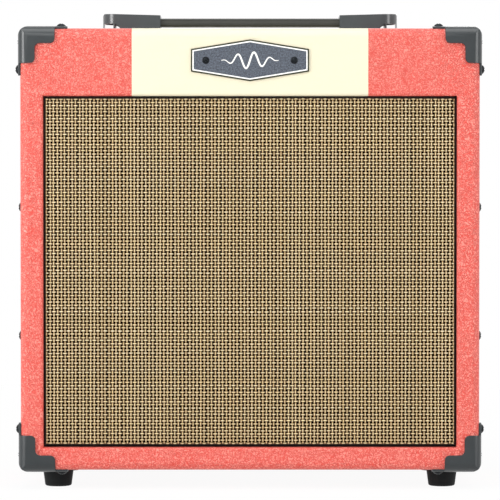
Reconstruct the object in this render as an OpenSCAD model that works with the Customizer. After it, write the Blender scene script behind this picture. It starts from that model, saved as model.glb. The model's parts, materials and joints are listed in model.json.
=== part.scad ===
// Guitar combo amplifier: a vinyl-covered wooden cabinet with one loudspeaker behind a woven grille,
// a control panel sunk into the top at the rear, a strap handle, corner protectors and an open back.
// Millimetres. +Z is up, the front looks along -Y, and the origin is on the floor under the cabinet's centre.

/* [Cabinet] */
// Width of the cabinet over its covering
body_w = 370; // [350:1:460]
// Depth of the cabinet over its covering
body_d = 200; // [195:1:260]
// Height of the cabinet without feet and handle
body_h = 356; // [350:1:450]
// Thickness of the side, top and bottom boards
board_t = 17; // [14:0.5:21]
// Thickness of the vinyl covering
vinyl_t = 0.8; // [0.6:0.1:1.2]
// Radius of the cabinet's outer edges
edge_r = 7; // [5:0.5:9]
// Radius where the covering turns into an opening
mouth_r = 2.4; // [2:0.1:3.5]
// Height of the fascia from the cabinet's top edge to the grille opening
fascia_h = 54.6; // [48:0.2:80]
// Width of the light stripe over the fascia and the top
stripe_w = 190; // [120:1:240]

/* [Grille and baffle] */
// Depth of the grille cloth behind the front face
grille_recess = 3; // [2:0.5:8]
// Thickness of the woven cloth
cloth_t = 1.2; // [0.8:0.1:2]
// Thickness of the frame that the cloth is stretched over
grille_frame_t = 7.5; // [6.5:0.5:12]
// Width of the frame's bars
grille_frame_w = 22; // [15:1:40]
// Gap between the cloth and the opening
grille_gap = 1.1; // [0.6:0.1:2]
// Thickness of the board that holds the loudspeaker
baffle_t = 15; // [12:0.5:18]

/* [Feet and corners] */
// Height of the rubber feet
foot_h = 15.4; // [10:0.2:25]
// Diameter of a foot where it meets the cabinet
foot_d = 25.4; // [20:0.2:30]
// Distance of a foot's centre from the cabinet's side
foot_inset_x = 28.5; // [24:0.5:45]
// Distance of a foot's centre from the cabinet's front or rear
foot_inset_y = 35; // [32:0.5:50]
// Wall thickness of a corner protector
corner_t = 1.8; // [1.2:0.1:2.4]
// Length of a corner protector's front legs, from its own outer edge
corner_leg = 30; // [24:0.5:40]
// Width of a corner protector's front legs, from its own outer edge
corner_leg_w = 14; // [10:0.5:17]
// Length of the legs that carry the screws, on the cabinet
corner_ear = 38; // [34:0.5:50]
// Width of the legs that carry the screws, on the cabinet
corner_ear_w = 15.4; // [15.4:0.2:20]

/* [Handle] */
// Length of the handle over both end caps
handle_l = 244; // [220:1:280]
// Length of an end cap
cap_l = 48; // [42:1:56]
// Width of an end cap, front to back
cap_w = 30; // [28:1:40]
// Height of an end cap at its outer end
cap_h = 15.2; // [14.4:0.2:22]
// Width of the strap
strap_w = 24; // [20:1:26]
// Thickness of the strap
strap_t = 6.4; // [5:0.2:7]
// Gap under the strap at rest
strap_gap = 5; // [4.6:0.1:5.6]

/* [Loudspeaker] */
// Outer diameter of the loudspeaker's frame
speaker_d = 208; // [190:1:250]
// Depth from the frame's mounting face to the back of the magnet
speaker_depth = 76; // [70:1:100]
// Diameter of the ring magnet
magnet_d = 100; // [80:1:130]
// Diameter of the voice coil's former
coil_d = 25.5; // [20:0.5:40]

/* [Chassis and controls] */
// Depth of the control panel below the cabinet's top
panel_recess = 10; // [8:0.5:16]
// Size of the chassis from front to rear
chassis_d = 72; // [66:1:100]
// Height of the chassis
chassis_h = 58; // [54:1:75]
// Thickness of the chassis sheet
steel_t = 1.2; // [0.8:0.1:1.6]
// Distance between neighbouring knobs
knob_pitch = 34; // [30:0.5:38]
// Diameter of a knob's skirt
knob_d = 21; // [16:0.5:25]
// Height of a knob
knob_h = 14.5; // [12:0.5:20]
// Diameter of a potentiometer's shaft
shaft_d = 6; // [5:0.1:6.4]
// Bore of a jack socket
jack_bore_d = 6.5; // [6.4:0.05:6.6]
// Height of the lower rear panel
rear_panel_h = 116; // [80:1:150]

/* [Hidden] */
$fn = 48;

// Clearances
eps = 1;              // how far a cutter runs past the face it cuts
slip = 0.3;           // gap left round boards and plates that drop into place
shank_gap = 0.05;     // radial gap between a screw's shank and its hole
shaft_gap = 0.06;     // radial gap of a turning shaft or a knob's bore
bolt_gap = 0.2;       // gap round the loudspeaker's bolts and the housings in the panel
hole_gap = 0.1;       // radial gap of sockets and the lamp in the panel

// Outer faces and the floor
x_side = body_w / 2;
y_front = -body_d / 2;
y_rear = body_d / 2;
z_base = foot_h;
z_top = z_base + body_h;
z_mid = z_base + body_h / 2;

// Openings as the covering leaves them, and the bare cavity behind them
open_x = x_side - board_t - 2 * vinyl_t;
open_z0 = z_base + board_t + 2 * vinyl_t;
open_z1 = z_top - fascia_h;
cav_x = x_side - board_t - vinyl_t;
cav_z0 = z_base + board_t + vinyl_t;
cav_z1 = z_top - board_t - vinyl_t;
rabbet = board_t / 2;
seam_w = 0.4;
seam_d = 0.5;

// Layers behind the grille opening
y_cloth = y_front + grille_recess;
y_frame = y_cloth + cloth_t;
y_baffle = y_frame + grille_frame_t;
y_speaker = y_baffle + baffle_t;
speaker_z = (open_z0 + open_z1) / 2;
cloth_x = open_x - grille_gap;
cloth_z0 = open_z0 + grille_gap + 0.7;
cloth_z1 = open_z1 - grille_gap;
baffle_screw_z = [speaker_z - 52, speaker_z + 52];
baffle_screw_y = (y_baffle + y_speaker) / 2;

// Control panel and chassis
panel_t = 1.5;
rear_recess = 4;
z_panel = z_top - panel_recess;
z_plate = z_panel - panel_t;
z_under = z_plate - steel_t;
z_chassis = z_plate - chassis_h;
y_ch1 = y_rear - rear_recess;
y_ch0 = y_ch1 - chassis_d;
y_panel = (y_ch0 + y_ch1) / 2;
panel_x = open_x - slip;
cleat_w = 16;
chassis_x = cav_x - cleat_w - 1;
y_top_rear = y_ch0 - 1;
top_wrap = z_top - z_under;
rear_wrap = rear_recess + steel_t;
knob_names = ["gain_knob", "volume_knob", "bass_knob", "middle_knob", "treble_knob", "reverb_knob"];
knob_row_x = -7;
knob_x = [for (i = [0:5]) knob_row_x + (i - 2.5) * knob_pitch];
input_x = knob_x[0] - 46;
button_x = knob_x[0] - 23;
lamp_x = button_x;
lamp_y = y_panel - 16;
phones_x = knob_x[5] + 25;
rocker_x = knob_x[5] + 52;
bushing_top = z_panel + 4.2;
knob_z0 = z_panel + 1;
knob_skirt_h = 1.2;
knob_grip_r = knob_d / 2 - 2.6;
knob_flutes = 18;
knob_bore_l = knob_h - 2;
pot_r = 8.2;
pot_h = 9.5;
pot_bushing_r = 3.45;
pot_nut_across = 10;
pot_nut_h = 2.2;
z_board = z_under - pot_h - 1.6;
jack_body_w = 15;
rear_jack_gap = 3.8;                  // from the input jack's body to a rear jack's centre line
rear_jack_pitch = 30;
rear_jack_x = [for (k = [0, 1]) input_x + jack_body_w + rear_jack_gap + k * rear_jack_pitch];
rear_jack_z = z_chassis + chassis_h / 2;
rear_jack_out = 3.6;
jack_barrel_r = 4.75;
jack_nut_across = 12.7;
jack_nut_h = 2.4;
jack_bore_l = 32;
lamp_r = 1.5;
lamp_drop = 6;
button_w = 8;
button_rise = 5;
button_l = 9.5;
rocker_r = 8.7;
rocker_w = 10.2;
rocker_rise = 3.4;
rocker_tilt = 8;
rocker_pin_r = 1.2;
rocker_z = z_panel - 1.2;
rocker_case = [13, 19.2];
rocker_rim = [15, 21.4];
transformer_x = chassis_x - 36;
transformer_y = y_panel;
transformer_ear = 29;
core = [48, 20, 40];
core_window = [8, 24];
bobbin = [31.2, 36, 23.4];
strap_band = 16;
vents = 15;
vent_pitch = 8;
vent_x = -8;
vent_size = [3, 10, 30];
inlet_x = cav_x - 58;
inlet_z = z_chassis + chassis_h / 2;
inlet_flange = [50, 35];
inlet_flange_t = 2.4;
inlet_body = [27.4, 31.2];
inlet_screw_x = 20;
drawer_w = 22;
drawer_h = 6.8;
drawer_l = 13.5;
drawer_y = 10.4;
panel_screw_x = panel_x - 7;
panel_screw_y = [y_ch0 + 12, y_ch1 - 12];

// Lower rear panel
rear_panel_t = 9;
rear_panel_recess = 2;
rear_panel_x = open_x - 2 * slip;
rear_panel_z0 = open_z0 + 2 * slip;
rear_panel_z1 = rear_panel_z0 + rear_panel_h;
y_panel_in = y_rear - rear_panel_recess - rear_panel_t;
rear_screw_x = [-rear_panel_x + 8, rear_panel_x - 8];
rear_screw_z = [rear_panel_z0 + 14, rear_panel_z1 - 14];
cleat_t = 15;

// Reverb tank
tank_x = 117;
tank_y = -8;
tank_w = 100;
tank_h = 32;
tank_t = 1;
tank_flange = 8;
tank_socket_r = 4;
tank_socket_l = 9;
transducer = [14, 62, 26];
spring_r = 2.6;

// Badge, centred on the fascia
badge_w = 94.8;
badge_h = 33.5;
badge_end_h = 18.1;
badge_t = 1;
badge_z = z_top - fascia_h / 2 + 1.3;
badge_screw_x = 35.5;

// Handle, centred over the weight of the loudspeaker
handle_y = min(y_front + 85, y_top_rear - cap_w / 2 - 8);
handle_x = handle_l / 2;
grip_l = 60;
cap_drop = 1.3;
cap_wall = 2.2;
cap_top_wall = 2;
cap_chamfer = 1.4;
strap_z = z_top + strap_gap;
strap_round = 2;
slot_l = 18;
boss_u = 26;
rib_u = 9;
rib_t = 1.6;
strap_u = 13;
cap_end_wall = 1.3;
arch_l = 14;
arch_h = 7;
handle_screw_x = handle_x - boss_u;
handle_head_r = 4.4;
handle_head_h = 2.6;
handle_hex_r = 2;
handle_hex_h = 1.6;
handle_screw_foot = cav_z1 - 3;
boss_r = handle_head_r + 1.6;
handle_shank_r = 2.4;
handle_seat_z = z_top + cap_h - cap_drop / 2 - 3.2;

// Fasteners: head radius, head height, shank radius
corner_head = [4, 2.4, 1.6];
baffle_head = [4.6, 2.5, 1.8];
panel_head = [4, 2.2, 1.7];
foot_head = [4.5, 2.8, 2];
inlet_head = [2.9, 1.3, 1.5];
badge_head = [3, 0.8, 1.1];
speaker_head = [5.2, 2.4, 2.4];
corner_screw_at = corner_ear - 5;
corner_screw_in = corner_ear_w - 5.4;
corner_screw_l = 14;
corner_round = 4;
corner_wrap = 4;
baffle_screw_l = board_t + 2 * vinyl_t + 22;
panel_screw_l = 20;
inlet_screw_l = 8;
foot_taper = 2;
foot_recess_r = 6;
foot_seat = 6;
foot_screw_l = 24;
tnut_l = 9;
tnut_r = 3.3;
tnut_rim_r = 8.5;
tnut_rim_t = 1.5;

// Loudspeaker, measured from its mounting face towards the magnet
flange_r = speaker_d / 2;
speaker_bolt_r = flange_r - 5.5;
cutout_r = flange_r - 10;
gasket_t = 3;
basket_t = 1.4;
flange_in_r = cutout_r - 4;
surround_in_r = flange_in_r - 8;
yoke_t = 6;
magnet_t = 15;
top_plate_t = 6;
z_yoke = speaker_depth - yoke_t;
z_magnet = z_yoke - magnet_t;
z_top_plate = z_magnet - top_plate_t;
seat_r = 42;
z_seat = z_top_plate - 6;
coil_r = coil_d / 2;
coil_t = 0.45;
pole_r = coil_r - 0.45;
gap_r = coil_r + coil_t + 0.5;
cone_t = 0.8;
z_cone_rim = gasket_t + basket_t + 0.4;
z_cone_neck = z_seat - 6;
neck_r = coil_r + coil_t;
cone_lip = 3;
cone_out_r = surround_in_r - cone_lip;
dust_r = 26;
dust_rise = 9;
z_dust = z_cone_rim + (z_cone_neck - z_cone_rim) * (cone_out_r - dust_r) / (cone_out_r - neck_r);
spider_waves = 8;
spider_wave_h = 0.9;
spider_t = 0.6;
z_spider = z_seat - 2.4;

// The frame's cone from its wide to its narrow end, and where the connection strip stands on it
wall_r0 = flange_in_r + 2;
wall_r1 = seat_r + 9;
wall_run = [wall_r0 - wall_r1, z_seat - gasket_t];
wall_turn = atan2(wall_run[0], wall_run[1]);
terminal_r = 70;
terminal_z = gasket_t + basket_t + (wall_r0 - terminal_r) / wall_run[0] * wall_run[1];
strip_size = [14, 26, 1.6];
tab_size = [12, 3.2, 0.8];
tab_y = 7;
lead_r = 1.1;

function lerp(a, b, t) = a + (b - a) * t;

// ---------- shared shapes ----------

// A rectangle with rounded corners
module round_rect(w, h, r) {
    square([w - 2 * r, h], center = true);
    square([w, h - 2 * r], center = true);
    for (x = [-1, 1], y = [-1, 1]) translate([x * (w / 2 - r), y * (h / 2 - r)]) circle(r);
}

// A box with all twelve edges rounded
module edge_block(w, d, h, r) {
    intersection() {
        linear_extrude(h, center = true) round_rect(w, d, r);
        rotate([90, 0, 0]) linear_extrude(d, center = true) round_rect(w, h, r);
        rotate([90, 0, 90]) linear_extrude(w, center = true) round_rect(d, h, r);
    }
}

// A box from its lowest to its highest corner
module span(low, high) translate(low) cube(high - low);

// Runs along the X axis from x0 to x1 with a 2D section in Y and Z
module bar_x(x0, x1) translate([x0, 0, 0]) rotate([90, 0, 90]) linear_extrude(x1 - x0) children();

module both_sides() for (s = [0, 1]) mirror([s, 0, 0]) children();

// Points local +Z along the named way: the heads of screws look that way
module facing_left() rotate([0, -90, 0]) children();
module facing_rear() rotate([-90, 0, 0]) children();
module facing_front() rotate([90, 0, 0]) children();
module facing_down() rotate([180, 0, 0]) children();

// A domed screw with a cross recess: its head stands on z = 0 and its shank goes down
module dome_screw(head, length) {
    r = head[0];
    h = head[1];
    ball = (r * r + h * h) / (2 * h);
    recess = r * 0.95;
    difference() {
        intersection() {
            translate([0, 0, h - ball]) sphere(ball);
            cylinder(h = h + eps, r = r + eps);
        }
        for (a = [0, 90]) rotate(a) translate([0, 0, h]) cube([recess, r * 0.22, h * 1.1], center = true);
    }
    translate([0, 0, -length]) cylinder(h = length, r = head[2]);
}

module shank_hole(head, length) translate([0, 0, -length - slip])
    cylinder(h = length + 2 * slip, r = head[2] + shank_gap);

// ---------- cabinet form ----------

// An opening cut from z = 0 downwards whose rim is rounded, for a form inset by i
module mouth_cut(w, h, depth, i) {
    r = mouth_r - i;
    translate([0, 0, (eps - depth) / 2]) cube([w + 2 * i, h + 2 * i, depth + eps], center = true);
    difference() {
        translate([0, 0, (eps - mouth_r) / 2])
            cube([w + 2 * mouth_r, h + 2 * mouth_r, mouth_r + eps], center = true);
        for (s = [-1, 1]) {
            translate([s * (w / 2 + mouth_r), 0, -mouth_r]) rotate([90, 0, 0])
                cylinder(h = h + 4 * mouth_r, r = r, center = true);
            translate([0, s * (h / 2 + mouth_r), -mouth_r]) rotate([0, 90, 0])
                cylinder(h = w + 4 * mouth_r, r = r, center = true);
        }
    }
}

// Everything that the cabinet's walls leave free, for a form inset by i
module cabinet_hollows(i) {
    past = 20;
    front_h = open_z1 - open_z0;
    rear_h = z_top + past - open_z0;
    top_d = y_rear + past - y_top_rear;
    translate([0, y_front, (open_z0 + open_z1) / 2]) facing_front()
        mouth_cut(2 * open_x, front_h, y_baffle - y_front, i);
    translate([0, y_rear, open_z0 + rear_h / 2]) facing_rear()
        mouth_cut(2 * open_x, rear_h, rear_wrap, i);
    translate([0, y_top_rear + top_d / 2, z_top]) mouth_cut(2 * open_x, top_d, top_wrap, i);
    span([-cav_x, y_baffle, cav_z0], [cav_x, y_rear - rear_wrap, cav_z1]);
    span([-cav_x, y_top_rear - i, cav_z1 - eps], [cav_x, y_rear - rear_wrap, z_under]);
}

// The cabinet's walls, inset by i from the outer face of the covering
module cabinet_form(i) difference() {
    translate([0, 0, z_mid]) edge_block(body_w - 2 * i, body_d - 2 * i, body_h - 2 * i, edge_r - i);
    cabinet_hollows(i);
}

// Where each corner protector's screws go: [position, way the head faces]
module at_corner_screws() {
    d = corner_screw_at;
    c = corner_screw_in;
    both_sides() for (sy = [-1, 1], sz = [-1, 1]) {
        x = -x_side;
        y = sy * body_d / 2;
        z = z_mid + sz * body_h / 2;
        translate([x - corner_t, y - sy * c, z - sz * d]) facing_left() children();
        translate([x - corner_t, y - sy * d, z - sz * c]) facing_left() children();
        if (!(sy > 0 && sz > 0)) translate([x + d, y - sy * c, z + sz * corner_t])
            rotate([sz > 0 ? 0 : 180, 0, 0]) children();
    }
}

module at_baffle_screws() both_sides() for (z = baffle_screw_z)
    translate([-x_side, baffle_screw_y, z]) facing_left() children();

module at_feet(sy) both_sides()
    translate([-x_side + foot_inset_x, sy * (body_d / 2 - foot_inset_y), 0]) children();

module at_panel_screws() {
    both_sides() for (y = panel_screw_y) translate([-panel_screw_x, y, z_panel]) children();
    for (x = rear_screw_x, z = rear_screw_z)
        translate([x, y_rear - rear_panel_recess, z]) facing_rear() children();
}

module at_handle_screws() both_sides() translate([-handle_screw_x, handle_y, 0]) children();

// Holes that screws need in boards, covering and cleats
module wood_holes() {
    at_corner_screws() shank_hole(corner_head, corner_screw_l);
    at_baffle_screws() shank_hole(baffle_head, baffle_screw_l);
    at_panel_screws() shank_hole(panel_head, panel_screw_l);
    for (sy = [-1, 1]) at_feet(sy)
        translate([0, 0, foot_seat]) cylinder(h = foot_screw_l + slip, r = foot_head[2] + shank_gap);
    at_handle_screws() {
        translate([0, 0, cav_z1 - eps]) cylinder(h = board_t + cap_h, r = handle_shank_r + shank_gap);
        translate([0, 0, cav_z1 - eps]) cylinder(h = tnut_l + eps, r = tnut_r + shank_gap);
    }
    at_speaker_bolts() translate([0, 0, -baffle_t - eps])
        cylinder(h = 2 * baffle_t, r = speaker_head[2] + bolt_gap);
}

// ---------- cabinet pieces ----------

module wood() color("burlywood") difference() {
    intersection() {
        cabinet_form(vinyl_t);
        children();
    }
    wood_holes();
}

module top_zone() span([-cav_x - rabbet, y_front - eps, cav_z1],
    [cav_x + rabbet, y_top_rear - vinyl_t, z_top + eps]);
module bottom_zone() span([-cav_x - rabbet, y_front - eps, z_base - eps],
    [cav_x + rabbet, y_rear + eps, cav_z0]);

module top_board() wood() top_zone();
module bottom_board() wood() bottom_zone();
module fascia_board() wood() span([-cav_x, y_front, open_z1], [cav_x, y_baffle, cav_z1]);

module side_board() wood() difference() {
    span([-x_side, y_front - eps, z_base - eps], [-cav_x, y_rear + eps, z_top + eps]);
    top_zone();
    bottom_zone();
}
module left_side_board() side_board();
module right_side_board() mirror([1, 0, 0]) side_board();

module baffle_board() color("dimgray") difference() {
    span([-cav_x + slip, y_baffle, cav_z0 + slip], [cav_x - slip, y_speaker, cav_z1 - slip]);
    at_speaker() translate([0, 0, -baffle_t - eps]) cylinder(h = baffle_t + 2 * eps, r = cutout_r);
    wood_holes();
}

module pine_cleats() color("wheat") difference() {
    union() {
        both_sides() {
            span([-cav_x, y_ch0 + 2, z_under - 18], [-cav_x + cleat_w, y_ch1 - steel_t - slip, z_under]);
            span([-cav_x, y_panel_in - cleat_t, cav_z0], [-cav_x + cleat_t, y_panel_in, rear_panel_z1 - 2]);
        }
        span([-cav_x + cleat_t + slip, y_panel_in - cleat_t, cav_z0],
            [cav_x - cleat_t - slip, y_panel_in, cav_z0 + cleat_t]);
    }
    wood_holes();
}

module stripe_zone(half_w) span([-half_w, y_front - eps, open_z1 - eps],
    [half_w, y_top_rear + eps, z_top + eps]);

module covering() difference() {
    cabinet_form(0);
    cabinet_form(vinyl_t);
    wood_holes();
}

// The red covering, with a mitred seam in each lower corner of the front
module vinyl_cover() color("tomato") difference() {
    covering();
    stripe_zone(stripe_w / 2);
    both_sides() translate([-open_x, y_front, open_z0]) rotate([0, 45, 0])
        cube([seam_w, 2 * seam_d, 2 * board_t], center = true);
}

module stripe_cover() color("cornsilk") intersection() {
    covering();
    stripe_zone(stripe_w / 2 - 0.05);
}

// ---------- front ----------

module grille_frame() color("saddlebrown") {
    x = cloth_x - cloth_t;
    z0 = cloth_z0 + cloth_t;
    z1 = cloth_z1 - cloth_t;
    w = grille_frame_w;
    difference() {
        span([-x, y_frame, z0], [x, y_baffle, z1]);
        span([-x + w, y_frame - eps, z0 + w], [x - w, y_baffle + eps, z1 - w]);
    }
}

// The cloth covers the frame's face and its four edges
module grille_cloth() color("tan") difference() {
    span([-cloth_x, y_cloth, cloth_z0], [cloth_x, y_baffle, cloth_z1]);
    span([-cloth_x + cloth_t, y_frame, cloth_z0 + cloth_t],
        [cloth_x - cloth_t, y_baffle + eps, cloth_z1 - cloth_t]);
}

module badge_outline() polygon([[-badge_w / 2, -badge_end_h / 2], [0, -badge_h / 2],
    [badge_w / 2, -badge_end_h / 2], [badge_w / 2, badge_end_h / 2],
    [0, badge_h / 2], [-badge_w / 2, badge_end_h / 2]]);

module badge_plate() color("dimgray") translate([0, y_front, badge_z]) facing_front() difference() {
    linear_extrude(badge_t) badge_outline();
    both_sides() translate([-badge_screw_x, 0, -eps])
        cylinder(h = badge_t + 2 * eps, r = badge_head[2] + slip);
}

module badge_screws() color("black") both_sides() translate([-badge_screw_x, y_front, badge_z])
    facing_front() {
        translate([0, 0, badge_t]) dome_screw(badge_head, badge_t);
    }

// ---------- corner protectors and feet ----------

// One leg of a corner's outline, along +X from the corner point, with a rounded end
module leg_outline(length, width, r) difference() {
    square([length, width]);
    translate([length - r, width - r]) difference() {
        square(r + eps);
        circle(r);
    }
}

// The two legs of a corner's outline with a fillet between them
module corner_outline(length, width, r) {
    leg_outline(length, width, r);
    mirror([1, -1]) leg_outline(length, width, r);
    translate([width, width]) difference() {
        square(r);
        translate([r, r]) circle(r);
    }
}

// A protector for the corner at -X, -Y, top, in the frame of its outer corner point.
// A front corner shows short legs in front, and a corner with no cross leg fits the open rear top.
module corner_shell(short_front, cross_leg) {
    t = corner_t;
    reach = corner_ear + t;
    ear_w = corner_ear_w + t;
    difference() {
        intersection() {
            union() {
                if (short_front) {
                    rotate([90, 0, 0]) mirror([0, 1, 0]) translate([0, 0, -t - corner_wrap])
                        linear_extrude(t + corner_wrap)
                            corner_outline(corner_leg, corner_leg_w, corner_round);
                    translate([0, t + corner_wrap, 0]) rotate([90, 0, 0]) mirror([0, 1, 0])
                        translate([0, 0, -2 * reach]) linear_extrude(2 * reach)
                            corner_outline(reach, ear_w, corner_round);
                } else {
                    rotate([90, 0, 0]) mirror([0, 1, 0]) translate([0, 0, -2 * reach])
                        linear_extrude(2 * reach) corner_outline(reach, ear_w, corner_round);
                }
            }
            translate([0, 0, -2 * reach]) linear_extrude(2 * reach)
                corner_outline(reach, ear_w, corner_round);
            rotate([90, 0, 90]) mirror([0, 1, 0]) linear_extrude(2 * reach)
                corner_outline(reach, ear_w, corner_round);
            translate([body_w / 2 + t, body_d / 2 + t, -body_h / 2 - t])
                edge_block(body_w + 2 * t, body_d + 2 * t, body_h + 2 * t, edge_r + t);
        }
        translate([body_w / 2 + t, body_d / 2 + t, -body_h / 2 - t])
            edge_block(body_w, body_d, body_h, edge_r);
        if (!cross_leg) translate([board_t, -eps, -3 * reach]) cube([3 * reach, 3 * reach, 4 * reach]);
    }
}

// Two protectors, one on each side, moved from the front top to the rear (sy = 1) or the bottom (sz = -1)
module corner_pair(sy, sz, short_front, cross_leg) difference() {
    both_sides() translate([0, 0, z_mid]) mirror([0, sy > 0 ? 1 : 0, 0]) mirror([0, 0, sz < 0 ? 1 : 0])
        translate([-x_side - corner_t, y_front - corner_t, body_h / 2 + corner_t])
            corner_shell(short_front, cross_leg);
    at_corner_screws() translate([0, 0, -2 * corner_t])
        cylinder(h = 3 * corner_t, r = corner_head[2] + shank_gap);
    if (sz < 0) at_feet(sy) cylinder(h = foot_h + eps, r = foot_d / 2 + slip);
}

module front_corners() color("dimgray") {
    corner_pair(-1, 1, true, true);
    corner_pair(-1, -1, true, true);
}
module rear_corners() color("dimgray") {
    corner_pair(1, 1, false, false);
    corner_pair(1, -1, true, true);
}
module corner_screws() color("black") at_corner_screws() dome_screw(corner_head, corner_screw_l);

module foot() difference() {
    cylinder(h = foot_h, r1 = foot_d / 2 - foot_taper, r2 = foot_d / 2);
    translate([0, 0, -eps]) cylinder(h = foot_seat + eps, r = foot_recess_r);
    cylinder(h = foot_h + eps, r = foot_head[2] + shank_gap);
}
module feet() color("black") for (sy = [-1, 1]) at_feet(sy) foot();

module foot_screws() color("silver") for (sy = [-1, 1]) at_feet(sy) translate([0, 0, foot_seat])
    facing_down() dome_screw(foot_head, foot_screw_l);

module baffle_screws() color("black") at_baffle_screws() dome_screw(baffle_head, baffle_screw_l);
module panel_screws() color("black") {
    at_panel_screws() dome_screw(panel_head, panel_screw_l);
    at_inlet_screws() dome_screw(inlet_head, inlet_screw_l);
}

// ---------- handle ----------

// Side view of an end cap, from its outer end along +X and from z = low up
module cap_side(inset, low) polygon([[inset, low], [inset, cap_h - cap_chamfer - inset],
    [inset + cap_chamfer, cap_h - inset], [cap_l + eps, cap_h - cap_drop - inset], [cap_l + eps, low]]);

// Plan of an end cap: a broad round at the outer end
module cap_plan(inset) {
    w = cap_w - 2 * inset;
    r = cap_w / 2 - 0.6 - inset;
    for (s = [-1, 1]) translate([inset + r, s * (w / 2 - r)]) circle(r);
    translate([inset, r - w / 2]) square([r, w - 2 * r]);
    translate([inset + r, -w / 2]) square([cap_l - r - inset, w]);
}

module cap_block(inset, low) intersection() {
    rotate([90, 0, 0]) linear_extrude(cap_w + eps, center = true) cap_side(inset, low);
    translate([0, 0, low]) linear_extrude(cap_h - low + eps) cap_plan(inset);
}

// Side view of the low arch through an end cap's outer end
module cap_arch() intersection() {
    translate([cap_end_wall, -eps]) square([arch_l, arch_h + eps]);
    union() {
        translate([0, -eps]) square([arch_l - arch_h + cap_end_wall, arch_h + eps]);
        translate([arch_l - arch_h + cap_end_wall, 0]) circle(arch_h);
    }
}

// A hollow cap with a screw boss, a cross rib and a window for the strap
module handle_cap() {
    window_w = strap_w + 2 * slip;
    inner_end = cap_l - cap_wall;
    difference() {
        union() {
            difference() {
                cap_block(0, 0);
                intersection() {
                    cap_block(cap_top_wall, -eps);
                    translate([0, -cap_w, -2 * eps]) cube([inner_end, 2 * cap_w, cap_h + 3 * eps]);
                }
                translate([inner_end - eps, -window_w / 2, strap_gap - slip])
                    cube([cap_wall + 2 * eps, window_w, strap_t + 2 * slip]);
                rotate([90, 0, 0]) linear_extrude(2 * cap_w, center = true) cap_arch();
            }
            translate([boss_u, 0, 0]) cylinder(h = cap_h - cap_drop - cap_top_wall / 2, r = boss_r);
            intersection() {
                cap_block(cap_top_wall / 2, 0);
                translate([rib_u, -cap_w, 0]) cube([rib_t, 2 * cap_w, cap_h]);
            }
        }
        translate([boss_u, 0, -eps]) cylinder(h = cap_h + 2 * eps, r = handle_shank_r + shank_gap);
        translate([boss_u, 0, handle_seat_z - z_top]) cylinder(h = cap_h, r = handle_head_r + slip);
    }
}

module at_cap() translate([-handle_x, handle_y, z_top]) children();
module handle_cap_left() color("dimgray") at_cap() handle_cap();
module handle_cap_right() color("dimgray") mirror([1, 0, 0]) at_cap() handle_cap();

module strap_section() translate([handle_y, strap_z + strap_t / 2]) round_rect(strap_w, strap_t, strap_round);

module handle_grip() color("black") bar_x(-grip_l / 2, grip_l / 2) strap_section();

// The strap on both sides of the grip, with the slot that lets it slide round the cap's boss
module handle_strap_ends() color("black") both_sides() difference() {
    bar_x(-handle_x + strap_u, -grip_l / 2) strap_section();
    translate([-handle_screw_x, handle_y, strap_z - eps]) linear_extrude(strap_t + 2 * eps)
        round_rect(slot_l, 2 * boss_r + 1, boss_r + 0.4);
}

module handle_screws() color("silver") at_handle_screws() {
    translate([0, 0, handle_seat_z]) difference() {
        union() {
            cylinder(h = handle_head_h, r = handle_head_r);
            translate([0, 0, handle_screw_foot - handle_seat_z])
                cylinder(h = handle_seat_z - handle_screw_foot, r = handle_shank_r);
        }
        translate([0, 0, handle_head_h - handle_hex_h])
            cylinder(h = handle_hex_h + eps, r = handle_hex_r, $fn = 6);
    }
}

// Tee nuts that are driven into the top board from below
module tee_nuts() color("silver") at_handle_screws() {
    difference() {
        union() {
            translate([0, 0, cav_z1 - tnut_rim_t]) cylinder(h = tnut_rim_t, r = tnut_rim_r);
            translate([0, 0, cav_z1 - eps / 2]) cylinder(h = tnut_l - eps, r = tnut_r);
        }
        translate([0, 0, cav_z1 - tnut_rim_t - eps])
            cylinder(h = tnut_l + tnut_rim_t + eps, r = handle_shank_r + shank_gap);
    }
}

// ---------- loudspeaker ----------

// Local +Z runs from the mounting face towards the magnet
module at_speaker() translate([0, y_speaker, speaker_z]) facing_rear() children();

module at_speaker_bolts() at_speaker() for (a = [45:90:315])
    rotate(a) translate([speaker_bolt_r, 0, 0]) children();

module ring(r_in, r_out, z0, z1) translate([0, 0, z0]) difference() {
    cylinder(h = z1 - z0, r = r_out);
    translate([0, 0, -eps]) cylinder(h = z1 - z0 + 2 * eps, r = r_in);
}

// A sheet that follows a chain of [radius, depth] points
module turned_sheet(points, thickness) rotate_extrude() polygon(concat(points,
    [for (i = [len(points) - 1:-1:0]) points[i] + [0, thickness]]));

module basket_windows() {
    spokes = 6;
    for (i = [0:spokes - 1]) rotate(i * 360 / spokes) linear_extrude(speaker_depth) intersection() {
        difference() {
            circle(flange_in_r - 7);
            circle(seat_r + 13);
        }
        polygon([[0, 0], [2 * flange_r, -flange_r * 0.88], [2 * flange_r, flange_r * 0.88]]);
    }
}

module speaker_basket() color("dimgray") difference() {
    at_speaker() {
        difference() {
            union() {
                ring(flange_in_r, flange_r, gasket_t, gasket_t + basket_t);
                turned_sheet([[wall_r0, gasket_t], [wall_r1, z_seat], [seat_r, z_seat]], basket_t);
                ring(seat_r, seat_r + basket_t, z_seat, z_top_plate);
                ring(gap_r + 3, seat_r + basket_t, z_top_plate - basket_t, z_top_plate);
            }
            translate([0, 0, gasket_t + basket_t + 2]) basket_windows();
        }
    }
    at_speaker_bolts() cylinder(h = 20, r = speaker_head[2] + bolt_gap);
}

module speaker_gasket() color("dimgray") difference() {
    at_speaker() ring(flange_in_r + 6, flange_r - 0.5, 0, gasket_t);
    at_speaker_bolts() translate([0, 0, -eps]) cylinder(h = 20, r = speaker_head[2] + bolt_gap);
}

module speaker_top_plate() color("silver") at_speaker()
    ring(gap_r, magnet_d / 2 - 5, z_top_plate, z_magnet);
module speaker_magnet() color("dimgray") at_speaker() ring(gap_r + 4, magnet_d / 2, z_magnet, z_yoke);

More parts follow.
